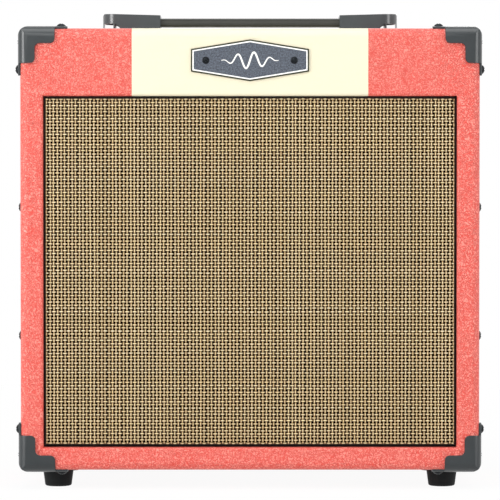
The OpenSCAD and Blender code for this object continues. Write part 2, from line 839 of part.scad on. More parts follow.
module speaker_yoke() color("silver") at_speaker() {
    translate([0, 0, z_yoke]) cylinder(h = yoke_t, r = magnet_d / 2 - 3);
    translate([0, 0, z_top_plate]) cylinder(h = z_yoke - z_top_plate + eps, r = pole_r);
}

// The paper cone, with a flat rim for the surround
module speaker_cone() color("dimgray") at_speaker() turned_sheet([[surround_in_r + 0.1, z_cone_rim],
    [cone_out_r, z_cone_rim], [neck_r, z_cone_neck]], cone_t);

module speaker_dust_cap() color("black") at_speaker() {
    ball = (dust_r * dust_r + dust_rise * dust_rise) / (2 * dust_rise);
    translate([0, 0, z_dust]) intersection() {
        difference() {
            translate([0, 0, ball - dust_rise]) sphere(ball);
            translate([0, 0, ball - dust_rise]) sphere(ball - cone_t);
        }
        translate([0, 0, -dust_rise - eps]) cylinder(h = dust_rise + eps, r = dust_r + eps);
    }
}

module voice_coil() color("orange") at_speaker()
    ring(coil_r, coil_r + coil_t - 0.02, z_cone_neck, z_magnet - 1);

// The half-roll of the surround and the flat foot that is glued to the frame
module speaker_surround() color("black") at_speaker() {
    roll_r = (flange_in_r + 1 - surround_in_r) / 2;
    mid_r = surround_in_r + roll_r;
    rotate_extrude() translate([mid_r, gasket_t - 0.4]) difference() {
        circle(roll_r);
        circle(roll_r - 0.8);
        translate([-2 * roll_r, 0]) square(4 * roll_r);
    }
    ring(cone_out_r + 0.2, surround_in_r + 0.8, gasket_t - 0.4, z_cone_rim);
    ring(flange_in_r + 0.2, flange_in_r + 5.5, gasket_t - 0.8, gasket_t);
}

// The corrugated disc that centres the coil
module speaker_spider() color("goldenrod") at_speaker() {
    steps = 4 * spider_waves;
    turned_sheet(concat([for (i = [0:steps]) [lerp(neck_r, seat_r + 1, i / steps),
        z_spider + spider_wave_h * sin(i * 90)]], [[seat_r + 4, z_spider]]), spider_t);
    ring(seat_r + 1.5, seat_r + 6, z_spider + spider_t, z_seat);
}

// On the frame's cone, up from the axis
module at_terminals() at_speaker() rotate(-90) translate([terminal_r, 0, terminal_z])
    rotate([0, 90 - wall_turn, 0]) children();

module speaker_terminals() color("peru") at_terminals() {
    strip_top = slip + strip_size[2];
    cube_at(strip_size, [0, 0, strip_top - strip_size[2] / 2]);
    for (s = [-1, 1]) cube_at(tab_size, [3, s * tab_y, strip_top + tab_size[2] / 2]);
}

module cube_at(size, centre) translate(centre) cube(size, center = true);

// Bolts through baffle, gasket and frame, and their nuts
module speaker_bolts() color("silver") at_speaker_bolts() {
    seat = gasket_t + basket_t;
    translate([0, 0, -baffle_t]) facing_down() dome_screw(speaker_head, baffle_t + seat + 6);
    translate([0, 0, seat]) difference() {
        cylinder(h = 4, r = 4.6, $fn = 6);
        translate([0, 0, -eps]) cylinder(h = 4 + 2 * eps, r = speaker_head[2] + shank_gap);
    }
}

// The route of the lead on side s, from the circuit board down and forwards to its tab
function lead_route(s) = [[20 + 5 * s, y_panel - 6, z_board - 0.1], [20 + 5 * s, y_panel - 6, z_board - 29],
    [18 + 4 * s, y_panel - 12, z_chassis - 14], [12 + 5 * s, 22, speaker_z + 96],
    [2 + 7 * s, -8, speaker_z + 90], [tab_y * s, -30, speaker_z + 84],
    [tab_y * s, y_speaker + terminal_z + 8, speaker_z + terminal_r + 6.4],
    [tab_y * s, y_speaker + terminal_z + 3.2, speaker_z + terminal_r + 1.8]];

// Catmull-Rom point on a route, for s from 0 to the number of points less one
function route_at(p, s) =
    let (i = min(floor(s), len(p) - 2), t = s - i)
    let (a = p[max(i - 1, 0)], b = p[i], c = p[i + 1], d = p[min(i + 2, len(p) - 1)])
    0.5 * (2 * b + (c - a) * t + (2 * a - 5 * b + 4 * c - d) * t * t + (3 * b - a - 3 * c + d) * t * t * t);
function unit(v) = v / norm(v);

// A round lead of radius r swept along a route
module lead(p, r) {
    sides = 8;
    steps = 4 * (len(p) - 1);
    rings = [for (k = [0:steps])
        let (s = k / 4, here = route_at(p, s))
        let (way = unit(route_at(p, min(s + 0.05, len(p) - 1)) - route_at(p, max(s - 0.05, 0))))
        let (u = unit(cross(way, [0.31, 0.95, 0.05])), v = cross(way, u))
        [for (j = [0:sides - 1]) here + r * (u * cos(j * 360 / sides) + v * sin(j * 360 / sides))]];
    polyhedron([for (ring = rings) each ring], concat([[for (j = [0:sides - 1]) j]],
        [for (k = [0:steps - 1], j = [0:sides - 1]) let (n = (j + 1) % sides)
            [k * sides + j, (k + 1) * sides + j, (k + 1) * sides + n, k * sides + n]],
        [[for (j = [sides - 1:-1:0]) steps * sides + j]]), convexity = 10);
}

// Two leads hang from the circuit board to the loudspeaker's terminals
module speaker_leads() color("firebrick") for (s = [-1, 1]) lead(lead_route(s), lead_r);

// ---------- chassis and controls ----------

module panel_holes() {
    for (x = knob_x) translate([x, y_panel, z_under - eps]) cylinder(h = 6, r = pot_bushing_r + hole_gap);
    for (x = [input_x, phones_x]) translate([x, y_panel, z_under - eps])
        cylinder(h = 6, r = jack_barrel_r + hole_gap);
    translate([lamp_x, lamp_y, z_under - eps]) cylinder(h = 6, r = lamp_r + hole_gap);
    translate([button_x, y_panel, z_under]) cube([button_w + 1, button_w + 1, 12], center = true);
    translate([rocker_x, y_panel, z_under])
        cube([rocker_case[0] + 2 * bolt_gap, rocker_case[1] + 2 * bolt_gap, 12], center = true);
    both_sides() for (y = panel_screw_y) translate([-panel_screw_x, y, z_under - eps])
        cylinder(h = 8, r = panel_head[2] + shank_gap);
}

module rear_wall_holes() {
    translate([inlet_x, y_ch1, inlet_z])
        cube([inlet_body[0] + 2 * bolt_gap, 10, inlet_body[1] + 2 * bolt_gap], center = true);
    at_inlet_screws() shank_hole(inlet_head, inlet_screw_l);
    for (x = rear_jack_x) translate([x, y_ch1 - 5, rear_jack_z]) facing_rear()
        cylinder(h = 10, r = jack_barrel_r + hole_gap);
    for (i = [0:vents - 1]) translate([vent_x + (i - (vents - 1) / 2) * vent_pitch, y_ch1, inlet_z])
        cube(vent_size, center = true);
}

module chassis() color("dimgray") difference() {
    union() {
        difference() {
            span([-chassis_x, y_ch0, z_chassis], [chassis_x, y_ch1, z_plate]);
            span([-chassis_x + steel_t, y_ch0 + steel_t, z_chassis - eps],
                [chassis_x - steel_t, y_ch1 - steel_t, z_under]);
        }
        span([-panel_x, y_ch0, z_under], [panel_x, y_ch1, z_plate]);
        span([-panel_x, y_ch1 - steel_t, z_chassis], [panel_x, y_ch1, z_plate]);
        span([chassis_x - 70, y_ch0, z_chassis], [chassis_x, y_ch1, z_chassis + steel_t]);
    }
    panel_holes();
    rear_wall_holes();
    at_transformer_screws() cylinder(h = 10, r = 2.1, center = true);
}

module control_panel() color("dimgray") difference() {
    span([-panel_x, y_ch0, z_plate], [panel_x, y_ch1, z_panel]);
    panel_holes();
}

// A fluted knob with a skirt, and the potentiometer shaft that it is pressed on
module knob(i) color("black") translate([knob_x[i], y_panel, knob_z0]) {
    difference() {
        union() {
            cylinder(h = knob_skirt_h, r = knob_d / 2);
            translate([0, 0, knob_skirt_h]) cylinder(h = 2.4, r1 = knob_d / 2, r2 = knob_grip_r + 0.4);
            linear_extrude(knob_h - 1) difference() {
                circle(knob_grip_r);
                for (k = [0:knob_flutes - 1]) rotate((k + 0.5) * 360 / knob_flutes)
                    translate([knob_grip_r + 0.5, 0]) circle(0.9);
            }
            translate([0, 0, knob_h - 1]) cylinder(h = 1, r1 = knob_grip_r - 0.5, r2 = knob_grip_r - 1.3);
        }
        translate([0, 0, -eps]) cylinder(h = z_panel + pot_nut_h + slip - knob_z0 + eps,
            r = pot_nut_across / sqrt(3) + slip);
        translate([0, 0, -eps]) cylinder(h = bushing_top + slip - knob_z0 + eps, r = pot_bushing_r + slip);
        translate([0, 0, -eps]) cylinder(h = knob_bore_l + eps, r = shaft_d / 2 + shaft_gap);
        translate([0, knob_grip_r - 4, knob_h]) cube([1, 6, 1.2], center = true);
    }
    shaft_foot = z_under - 5 - knob_z0;
    translate([0, 0, shaft_foot]) cylinder(h = knob_bore_l - 0.5 - shaft_foot, r = shaft_d / 2);
}

module hex_nut(across, h, bore_r) difference() {
    cylinder(h = h, r = across / sqrt(3), $fn = 6);
    translate([0, 0, -eps]) cylinder(h = h + 2 * eps, r = bore_r);
}

module potentiometers() color("silver") for (x = knob_x) translate([x, y_panel, 0]) {
    difference() {
        union() {
            translate([0, 0, z_under - pot_h]) cylinder(h = pot_h, r = pot_r);
            translate([0, 0, z_under - eps]) cylinder(h = bushing_top - z_under + eps, r = pot_bushing_r);
            translate([-6, pot_r - 1.2, z_under - pot_h]) cube([12, 7, 1.6]);
        }
        translate([0, 0, z_under - 6]) cylinder(h = 20, r = shaft_d / 2 + shaft_gap);
    }
    translate([0, 0, z_panel]) hex_nut(pot_nut_across, pot_nut_h, pot_bushing_r + shank_gap);
}

// A socket whose mouth is at z = 0 and whose bore runs down. Its nut clamps a sheet of sheet_t,
// from which the barrel stands out by nut_seat.
module jack(nut_seat, sheet_t) {
    under = nut_seat + sheet_t;
    difference() {
        union() {
            translate([0, 0, -under - eps]) cylinder(h = under + eps, r = jack_barrel_r);
            translate([0, 0, -(jack_bore_l + 1.5 + under) / 2])
                cube([jack_body_w, jack_body_w, jack_bore_l + 1.5 - under], center = true);
        }
        translate([0, 0, -jack_bore_l]) cylinder(h = jack_bore_l + eps, d = jack_bore_d);
    }
    translate([0, 0, -nut_seat]) hex_nut(jack_nut_across, jack_nut_h, jack_barrel_r + shank_gap);
}

module jack_sockets() color("silver") {
    for (x = [input_x, phones_x]) translate([x, y_panel, bushing_top])
        jack(bushing_top - z_panel, panel_t + steel_t);
    for (x = rear_jack_x) translate([x, y_ch1 + rear_jack_out, rear_jack_z]) facing_rear()
        jack(rear_jack_out, steel_t);
}

module channel_button() color("ivory") translate([button_x, y_panel, z_panel + button_rise - button_l])
    linear_extrude(button_l) round_rect(button_w, button_w, 1.2);

// The rocker lies on its OFF side at rest and turns about a pin along X
module power_rocker() color("firebrick") translate([rocker_x, y_panel, rocker_z])
    rotate([-rocker_tilt, 0, 0]) {
        intersection() {
            rotate([0, 90, 0]) cylinder(h = rocker_w, r = rocker_r, center = true);
            rotate([90, 0, 90]) linear_extrude(rocker_w, center = true) polygon([
                [-rocker_r, -rocker_rise], [rocker_r, -rocker_rise],
                [rocker_r, rocker_rise + rocker_r * tan(rocker_tilt)], [0, rocker_rise],
                [-rocker_r, rocker_rise + rocker_r * tan(rocker_tilt)]]);
        }
        rotate([0, 90, 0]) cylinder(h = rocker_w + 2 * slip + 1.2, r = rocker_pin_r, center = true);
    }

module switch_housings() color("black") {
    translate([rocker_x, y_panel, 0]) difference() {
        union() {
            translate([0, 0, z_panel]) linear_extrude(2) round_rect(rocker_rim[0], rocker_rim[1], 1.5);
            translate([0, 0, z_under - 14]) linear_extrude(z_panel - z_under + 14.5)
                square(rocker_case, center = true);
        }
        translate([0, 0, rocker_z - rocker_r - 0.6]) linear_extrude(30)
            square([rocker_w + 2 * slip, 2 * rocker_r + 2 * slip], center = true);
        translate([0, 0, rocker_z]) rotate([0, 90, 0])
            cylinder(h = 30, r = rocker_pin_r + shaft_gap, center = true);
    }
    translate([button_x, y_panel, z_under - 16]) difference() {
        linear_extrude(16) square([13, 13], center = true);
        translate([0, 0, 2]) linear_extrude(20) square([button_w + 2 * slip, button_w + 2 * slip],
            center = true);
    }
}

// The board hangs under the potentiometers, with its larger parts and the lamp's bracket
module circuit_board() color("green") {
    top = z_under - pot_h;
    low = z_board;
    x0 = knob_x[0] - 16;
    x1 = knob_x[5] + 14;
    span([x0, y_ch0 + 5, low], [x1, y_ch1 - 8, top]);
    for (i = [0:4]) translate([x0 + 24 + i * 30, y_ch0 + 20, low - 18]) cylinder(h = 18 + 0.5, r = 6);
    for (i = [0:3]) translate([x0 + 30 + i * 40, y_ch1 - 22, low - 5]) cube([18, 7, 5.5]);
    span([x1 - 46, y_ch0 + 34, low - 24], [x1 - 6, y_ch0 + 36, low + 0.5]);
    for (i = [0:6]) span([x1 - 46 + i * 6, y_ch0 + 35, low - 24], [x1 - 44.5 + i * 6, y_ch0 + 44, low - 4]);
    bracket_top = z_under - lamp_drop;
    span([lamp_x - 2, lamp_y - 2, bracket_top - 2], [x0 + 1, lamp_y + 2, bracket_top]);
    span([x0 - 2, lamp_y - 2, top - 0.5], [x0 + 2, lamp_y + 2, bracket_top]);
}

// The lamp shows in the panel and stands on the circuit board's bracket
module pilot_lamp() color("crimson") translate([lamp_x, lamp_y, z_under - lamp_drop]) {
    lamp_h = z_panel - z_under + lamp_drop + 0.6;
    cylinder(h = lamp_h, r = lamp_r);
    translate([0, 0, lamp_h]) sphere(lamp_r);
}

module at_transformer_screws() for (s = [-1, 1])
    translate([transformer_x + s * transformer_ear, transformer_y, z_chassis]) children();

// Laminated core, wound bobbin, fixing strap with feet, and its screws
module power_transformer() color("dimgray") {
    foot_t = 1.4;
    band_t = 1.2;
    low = -foot_t - 0.1 - core[2];
    translate([transformer_x, transformer_y, z_chassis]) {
        difference() {
            translate([-core[0] / 2, -core[1] / 2, low]) cube(core);
            for (s = [-1, 1]) translate([s * 12, 0, low + core[2] / 2])
                cube([core_window[0], core[1] + 2 * eps, core_window[1]], center = true);
        }
        translate([0, 0, low + core[2] / 2]) difference() {
            cube(bobbin, center = true);
            cube([bobbin[0] - 14.4, bobbin[1] + eps, bobbin[2] + eps], center = true);
        }
        for (s = [-1, 1]) {
            translate([s * (core[0] / 2 + 0.8) - band_t / 2, -strap_band / 2, low - foot_t])
                cube([band_t, strap_band, foot_t - low]);
            translate([s * (transformer_ear + 0.2) - 5, -strap_band / 2, -foot_t])
                cube([10, strap_band, foot_t]);
        }
        translate([-core[0] / 2 - 1.4, -strap_band / 2, low - foot_t]) cube([core[0] + 2.8, strap_band, 1.3]);
        translate([-core[0] / 2, -strap_band / 2, -foot_t]) cube([core[0], strap_band, 1.3]);
    }
    at_transformer_screws() {
        translate([0, 0, -foot_t - 2.2]) cylinder(h = 2.2, r = 3.6);
        translate([0, 0, -2]) cylinder(h = 6, r = 2);
    }
}

module at_inlet() translate([inlet_x, y_ch1, inlet_z]) facing_rear() children();
module at_inlet_screws() at_inlet() both_sides() translate([-inlet_screw_x, 0, inlet_flange_t]) children();

// An appliance inlet with three blades above the pocket for the fuse drawer
module mains_inlet() color("black") {
    deep = 17;
    difference() {
        at_inlet() union() {
            linear_extrude(inlet_flange_t) round_rect(inlet_flange[0], inlet_flange[1], 4);
            translate([0, 0, -22]) linear_extrude(22 + inlet_flange_t / 2)
                square(inlet_body, center = true);
        }
        at_inlet() {
            translate([0, -4.6, inlet_flange_t - deep]) linear_extrude(deep + eps) polygon([[-12.2, -8.4],
                [12.2, -8.4], [12.2, 3.6], [7.4, 8.4], [-7.4, 8.4], [-12.2, 3.6]]);
            translate([0, drawer_y, inlet_flange_t - drawer_l - slip]) linear_extrude(drawer_l + 2 * eps)
                square([drawer_w + 2 * slip, drawer_h + 2 * slip], center = true);
        }
        at_inlet_screws() shank_hole(inlet_head, inlet_screw_l);
    }
    at_inlet() for (p = [[-7, -6.6], [7, -6.6], [0, -2.6]])
        translate([p[0], p[1], inlet_flange_t - deep - 0.5]) linear_extrude(14)
            square([2, 4], center = true);
}

// The drawer that holds the mains fuse, with a finger lip
module fuse_drawer() color("black") at_inlet() translate([0, drawer_y, inlet_flange_t - drawer_l])
    difference() {
        linear_extrude(drawer_l + 0.8) square([drawer_w, drawer_h], center = true);
        translate([0, 0, drawer_l + 0.8]) cube([12, 2.4, 1.6], center = true);
        translate([0, 1, drawer_l / 2 - eps]) cube([drawer_w - 3, drawer_h, drawer_l - 4], center = true);
    }

module lower_rear_panel() color("tomato") difference() {
    span([-rear_panel_x, y_panel_in, rear_panel_z0],
        [rear_panel_x, y_panel_in + rear_panel_t, rear_panel_z1]);
    wood_holes();
}

// A steel tray with its open side down, flanges that lie on the bottom board, and two phono sockets
module reverb_tank() color("silver") {
    translate([0, tank_y, cav_z0]) difference() {
        union() {
            translate([-tank_x, -tank_w / 2, 0]) cube([2 * tank_x, tank_w, tank_h]);
            translate([-tank_x, -tank_w / 2 - tank_flange, 0])
                cube([2 * tank_x, tank_w + 2 * tank_flange, tank_t]);
        }
        translate([-tank_x + tank_t, -tank_w / 2 + tank_t, -eps])
            cube([2 * tank_x - 2 * tank_t, tank_w - 2 * tank_t, tank_h - tank_t + eps]);
    }
    for (s = [-1, 1]) translate([s * tank_x, tank_y + 34, cav_z0 + 20]) rotate([0, s * 90, 0])
        cylinder(h = tank_socket_l, r = tank_socket_r);
}

// Two long spring lines and the transducers at their ends, inside the tray
module reverb_springs() color("silver") translate([0, tank_y, cav_z0]) {
    z = tank_h - tank_t - transducer[2] / 2;
    for (s = [-1, 1]) translate([s * (tank_x - 14), 0, z]) cube(transducer, center = true);
    for (y = [-16, 16]) translate([-tank_x + 20, y, z]) rotate([0, 90, 0])
        cylinder(h = 2 * (tank_x - 20), r = spring_r);
}

// ---------- the part ----------

top_board();
bottom_board();
left_side_board();
right_side_board();
fascia_board();
baffle_board();
pine_cleats();
vinyl_cover();
stripe_cover();
grille_frame();
grille_cloth();
lower_rear_panel();
badge_plate();
badge_screws();
front_corners();
rear_corners();
corner_screws();
feet();
foot_screws();
baffle_screws();
panel_screws();
handle_cap_left();
handle_cap_right();
handle_grip();
handle_strap_ends();
handle_screws();
tee_nuts();
speaker_basket();
speaker_gasket();
speaker_magnet();
speaker_top_plate();
speaker_yoke();
speaker_cone();
speaker_dust_cap();
voice_coil();
speaker_surround();
speaker_spider();
speaker_terminals();
speaker_bolts();
speaker_leads();
chassis();
control_panel();
for (i = [0:5]) knob(i);
channel_button();
power_rocker();
switch_housings();
potentiometers();
jack_sockets();
pilot_lamp();
circuit_board();
power_transformer();
mains_inlet();
fuse_drawer();
reverb_tank();
reverb_springs();
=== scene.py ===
# %% [markdown]
# # A guitar combo amplifier
# A small combo is a wooden box covered in vinyl, with a loudspeaker behind a woven grille and the
# amplifier hung under a control panel in its top. Its construction comes from the CAD frame, which
# fixes every size and place. This lesson gives each surface its finish and models what CAD keeps
# plain: the woven grille, the badge, the strap, the marks on the panel and all soft edges.

# %% Load the frame and keep its box
import json
import math
import random

import bmesh
import bpy
from mathutils import Matrix, Vector

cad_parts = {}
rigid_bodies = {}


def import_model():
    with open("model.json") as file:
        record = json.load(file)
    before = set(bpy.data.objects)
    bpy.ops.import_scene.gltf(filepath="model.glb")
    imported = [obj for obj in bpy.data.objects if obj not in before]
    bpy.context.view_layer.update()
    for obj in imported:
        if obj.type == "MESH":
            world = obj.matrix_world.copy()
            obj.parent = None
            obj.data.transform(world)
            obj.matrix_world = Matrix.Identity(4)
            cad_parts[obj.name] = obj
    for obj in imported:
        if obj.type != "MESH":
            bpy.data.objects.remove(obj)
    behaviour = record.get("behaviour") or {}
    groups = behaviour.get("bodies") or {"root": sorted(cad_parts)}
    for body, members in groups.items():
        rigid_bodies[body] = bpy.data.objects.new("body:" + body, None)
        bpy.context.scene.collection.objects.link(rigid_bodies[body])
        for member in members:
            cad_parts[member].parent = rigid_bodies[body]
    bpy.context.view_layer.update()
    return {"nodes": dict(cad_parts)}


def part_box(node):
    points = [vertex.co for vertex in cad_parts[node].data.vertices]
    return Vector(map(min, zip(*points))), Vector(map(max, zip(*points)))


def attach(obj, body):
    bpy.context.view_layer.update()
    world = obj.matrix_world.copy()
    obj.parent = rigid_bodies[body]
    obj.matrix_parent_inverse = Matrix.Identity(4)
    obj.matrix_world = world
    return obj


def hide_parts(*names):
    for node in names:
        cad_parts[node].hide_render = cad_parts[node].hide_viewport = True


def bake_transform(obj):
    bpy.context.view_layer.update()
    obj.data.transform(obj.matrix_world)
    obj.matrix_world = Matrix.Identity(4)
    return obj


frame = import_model()

MM = 0.001

# %% [markdown]
# ## Helpers
# An operator acts on everything that is selected, so each step first selects one object, or picks
# faces, edges or points by their place. A finished piece keeps its place in its mesh, with its
# object at the origin, exactly like a CAD node, so that patterns stay where they are in any pose.


# %% Select an object, or a part of its mesh
def select_only(obj):
    """Makes obj the active object and the only selected one."""
    if bpy.context.object and bpy.context.object.mode != "OBJECT":
        bpy.ops.object.mode_set(mode="OBJECT")
    for other in bpy.context.selected_objects:
        other.select_set(False)
    bpy.context.view_layer.objects.active = obj
    obj.select_set(True)
    return obj


def edit(obj, kind="FACE"):
    """Opens obj in edit mode, with nothing selected."""
    select_only(obj)
    bpy.ops.object.mode_set(mode="EDIT")
    bpy.ops.mesh.select_mode(type=kind)
    bpy.ops.mesh.select_all(action="DESELECT")


def pick(test, kind="FACE"):
    """Selects the faces, edges or points of the mesh in edit mode that pass test."""
    mesh = bmesh.from_edit_mesh(bpy.context.object.data)
    items = {"FACE": mesh.faces, "EDGE": mesh.edges, "VERT": mesh.verts}[kind]
    bpy.ops.mesh.select_mode(type=kind)
    for item in items:
        item.select_set(bool(test(item)))
    mesh.select_flush_mode()
    bmesh.update_edit_mesh(bpy.context.object.data)


def close_edit():
    """Goes back to object mode."""
    bpy.ops.object.mode_set(mode="OBJECT")


# %% Add, settle and modify a piece
def new_object(name, data):
    """Puts data into the scene as an object of this name."""
    obj = bpy.data.objects.new(name, data)
    bpy.context.scene.collection.objects.link(obj)
    return obj


def settle(obj, name):
    """Names a piece and moves its place into its mesh."""
    select_only(obj)
    bpy.ops.object.transform_apply(location=True, rotation=True, scale=True)
    obj.name = name
    obj.data.name = name
    return obj


def modify(obj, kind, **settings):
    """Adds a modifier, sets it up and applies it."""
    select_only(obj)
    modifier = obj.modifiers.new(kind.title(), kind)
    for key, value in settings.items():
        setattr(modifier, key, value)
    bpy.ops.object.modifier_apply(modifier=modifier.name)
    return obj


def smooth(obj, degrees=35):
    """Shades a piece smooth, but leaves edges sharper than this angle crisp."""
    select_only(obj)
    bpy.ops.object.shade_smooth_by_angle(angle=math.radians(degrees))
    return obj


# %% Dress a piece
def coat(obj, material):
    """Makes this the one material of a piece."""
    obj.data.materials.clear()
    obj.data.materials.append(material)


def dress(obj, material, body="cabinet"):
    """Gives a piece its material and the body that it rides on."""
    coat(obj, material)
    if body:
        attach(obj, body)
    return obj


# %% [markdown]
# ## Colours and shader nodes
# Colours are written as sRGB hex values, as a paint chart gives them, and the shader wants linear
# light, so one function turns them over. Another adds a node with its settings and its links. The
# patterns that several finishes share, such as cloudy noise and bump, have a function each.


# %% Colours and nodes
def rgb(code):
    """An sRGB hex colour as linear red, green, blue and alpha."""
    parts = [int(code[i:i + 2], 16) / 255 for i in (0, 2, 4)]
    linear = [p / 12.92 if p <= 0.04045 else ((p + 0.055) / 1.055) ** 2.4 for p in parts]
    return (*linear, 1)


def add(tree, kind, inputs=None, **settings):
    """Adds a node: settings are its own properties, inputs are values or sockets to link from."""
    node = tree.nodes.new(kind)
    for key, value in settings.items():
        setattr(node, key, value)
    for key, value in (inputs or {}).items():
        if isinstance(value, bpy.types.NodeSocket):
            tree.links.new(value, node.inputs[key])
        else:
            node.inputs[key].default_value = value
    return node


def finish_of(name, **values):
    """A new Principled material with these plain values, its tree and its shader."""
    material = bpy.data.materials.new(name)
    material.use_nodes = True
    tree = material.node_tree
    shader = tree.nodes["Principled BSDF"]
    for key, value in values.items():
        shader.inputs[key.replace("_", " ")].default_value = value
    return material, tree, shader


# %% Patterns that finishes share
def blend_colours(tree, share, low, high):
    """The colour between two hex colours, by a socket that runs from 0 to 1."""
    ramp = add(tree, "ShaderNodeValToRGB", {"Fac": share})
    ramp.color_ramp.elements[0].color = rgb(low)
    ramp.color_ramp.elements[1].color = rgb(high)
    return ramp


def colour_by(tree, shader, share, low, high):
    """Colours the surface between two hex colours, by a socket that runs from 0 to 1."""
    tree.links.new(blend_colours(tree, share, low, high).outputs[0], shader.inputs["Base Color"])


def gloss_by(tree, shader, share, low, high):
    """Lets the roughness drift from low to high, by a socket that runs from 0 to 1."""
    gloss = add(tree, "ShaderNodeMapRange", {"Value": share, "To Min": low, "To Max": high})
    tree.links.new(gloss.outputs[0], shader.inputs["Roughness"])


def bump_of(tree, shader, height, distance):
    """Raises the surface by a height socket, by distance in metres, on top of any bump it has."""
    inputs = {"Height": height, "Distance": distance}
    if shader.inputs["Normal"].is_linked:
        inputs["Normal"] = shader.inputs["Normal"].links[0].from_socket
    bump = add(tree, "ShaderNodeBump", inputs)
    tree.links.new(bump.outputs["Normal"], shader.inputs["Normal"])


def place_of(tree, stretch=(1, 1, 1)):
    """Object coordinates, stretched along each axis for grain that runs one way."""
    coordinates = add(tree, "ShaderNodeTexCoord")
    return add(tree, "ShaderNodeMapping", {"Vector": coordinates.outputs["Object"],
                                           "Scale": stretch}).outputs[0]


def grain(tree, place, size, detail=3.0, rough=0.55):
    """Cloudy noise whose features are about size metres across."""
    return add(tree, "ShaderNodeTexNoise", {"Vector": place, "Scale": 1 / size, "Detail": detail,
                                            "Roughness": rough}).outputs["Fac"]


# %% [markdown]
# ## Camera, floor and light
# The amplifier stands straight in front of a long lens, so its sides stay parallel. A wide lens
# would also show it whole, but would draw its top and sides in. A pale floor and big soft lamps
# light it evenly; a lamp above gives the rims their light upper edges, and two tall ones at the
# sides draw the soft bands on the black plastic corners. Small lamps would leave hard shadows.

# %% Camera
VIEW_DISTANCE = 2.5
VIEW_HEIGHT = 0.252
VIEW_DOWN = 1.406  # degrees below the horizon
LENS = 215.0  # focal length in millimetres, on a sensor 36 mm wide
camera = new_object("camera", bpy.data.cameras.new("camera"))
camera.location = (0, -VIEW_DISTANCE, VIEW_HEIGHT)
camera.rotation_euler = (math.radians(90 - VIEW_DOWN), 0, 0)
camera.data.sensor_width = 36
camera.data.lens = LENS
bpy.context.scene.camera = camera
bpy.context.scene.view_settings.view_transform = "Standard"
print("camera:", VIEW_DISTANCE, "m in front and", VIEW_HEIGHT, "m up, lens", LENS, "mm")

# %% Floor
BACKGROUND = rgb("FFFFFF")
FADE_FROM = 0.3  # metres from the middle, where the floor starts to turn white
FADE_TO = 1.1
NEAR_WHITE = 0.94  # how white the floor is inside that
FLOOR_SIZE = 30


def seen_directly(tree):
    """1 for a ray from the camera or off a gloss or glass, and 0 for light that falls on things."""
    path = add(tree, "ShaderNodeLightPath")
    glossy = add(tree, "ShaderNodeMath", {0: path.outputs["Is Camera Ray"],
                                          1: path.outputs["Is Glossy Ray"]}, operation="MAXIMUM")
    return add(tree, "ShaderNodeMath", {0: glossy.outputs[0],
                                        1: path.outputs["Is Transmission Ray"]},
               operation="MAXIMUM").outputs[0]


bpy.ops.mesh.primitive_plane_add(size=FLOOR_SIZE, location=(0, 0, 0))
floor = settle(bpy.context.object, "floor")
floor_paint, tree, shader = finish_of("white studio floor", Roughness=0.9, Specular_IOR_Level=0.2)
shader.inputs["Base Color"].default_value = rgb("F4F4F2")
white = add(tree, "ShaderNodeEmission", {"Color": BACKGROUND, "Strength": 1.0})
reach = add(tree, "ShaderNodeVectorMath", {0: place_of(tree)}, operation="LENGTH")
fade = add(tree, "ShaderNodeMapRange", {"Value": reach.outputs["Value"], "From Min": FADE_FROM,
                                        "From Max": FADE_TO, "To Min": NEAR_WHITE, "To Max": 1.0})
share = add(tree, "ShaderNodeMath", {0: seen_directly(tree), 1: fade.outputs[0]},
            operation="MULTIPLY")
mixed = add(tree, "ShaderNodeMixShader", {0: share.outputs[0], 1: shader.outputs[0],
                                          2: white.outputs[0]})
tree.links.new(mixed.outputs[0], tree.nodes["Material Output"].inputs["Surface"])
coat(floor, floor_paint)
print("floor:", FLOOR_SIZE, "m square")

# %% Surroundings
AMBIENT = 0.42  # the light that the surroundings throw, against a full 1 in what shows of them
world = bpy.data.worlds.new("studio")
bpy.context.scene.world = world
world.use_nodes = True
tree = world.node_tree
level = add(tree, "ShaderNodeMapRange", {"Value": seen_directly(tree), "To Min": AMBIENT,
                                         "To Max": 1.0})
tree.links.new(level.outputs[0], tree.nodes["Background"].inputs["Strength"])
tree.nodes["Background"].inputs["Color"].default_value = BACKGROUND
print("surroundings:", world.name)


# %% Soft lamps
def soft_lamp(name, place, width, height, watts):
    """A rectangular soft box at place that faces the middle of the amplifier."""
    data = bpy.data.lights.new(name, "AREA")
    data.shape = "RECTANGLE"
    data.size = width
    data.size_y = height
    data.energy = watts
    lamp = new_object(name, data)
    lamp.location = place
    lamp.rotation_euler = (AIM - Vector(place)).to_track_quat("-Z", "Y").to_euler()


AIM = Vector((0, 0, 0.2))
soft_lamp("front lamp", (-0.5, -2.6, 1.5), 1.6, 1.2, 17.5)
soft_lamp("top lamp", (0, -0.5, 1.9), 1.5, 1.1, 15)
soft_lamp("left lamp", (-1.6, -0.9, 0.6), 0.5, 1.4, 22)
soft_lamp("right lamp", (1.6, -0.9, 0.6), 0.4, 1.4, 11)
soft_lamp("rear lamp", (0.4, 2.4, 1.4), 1.4, 1.2, 14)

# %% [markdown]
# ## Coverings
# The covering is expanded vinyl on cotton backing, embossed with a pebble grain between rollers.
# The pebbles are flat-topped cells some 2 mm across with narrow creases between them. They are far
# too many to model one by one and less than half a millimetre high, so they are bump: a Voronoi
# pattern gives the cells, and a noise bends it so that no cell is round. The stripe is the same
# cloth with a smooth calendered face.


# %% Red and cream vinyl
CREASE = 0.28  # where a pebble's top starts, as a share of its cell
DRIFT = 11 * MM  # how far the noise moves a cell
PEBBLE_LIGHT_SHARE = 0.7  # how much of the colour is painted highlight and shade by pebble height, and how much from clouds
CLOUD_SHARE = 0.26


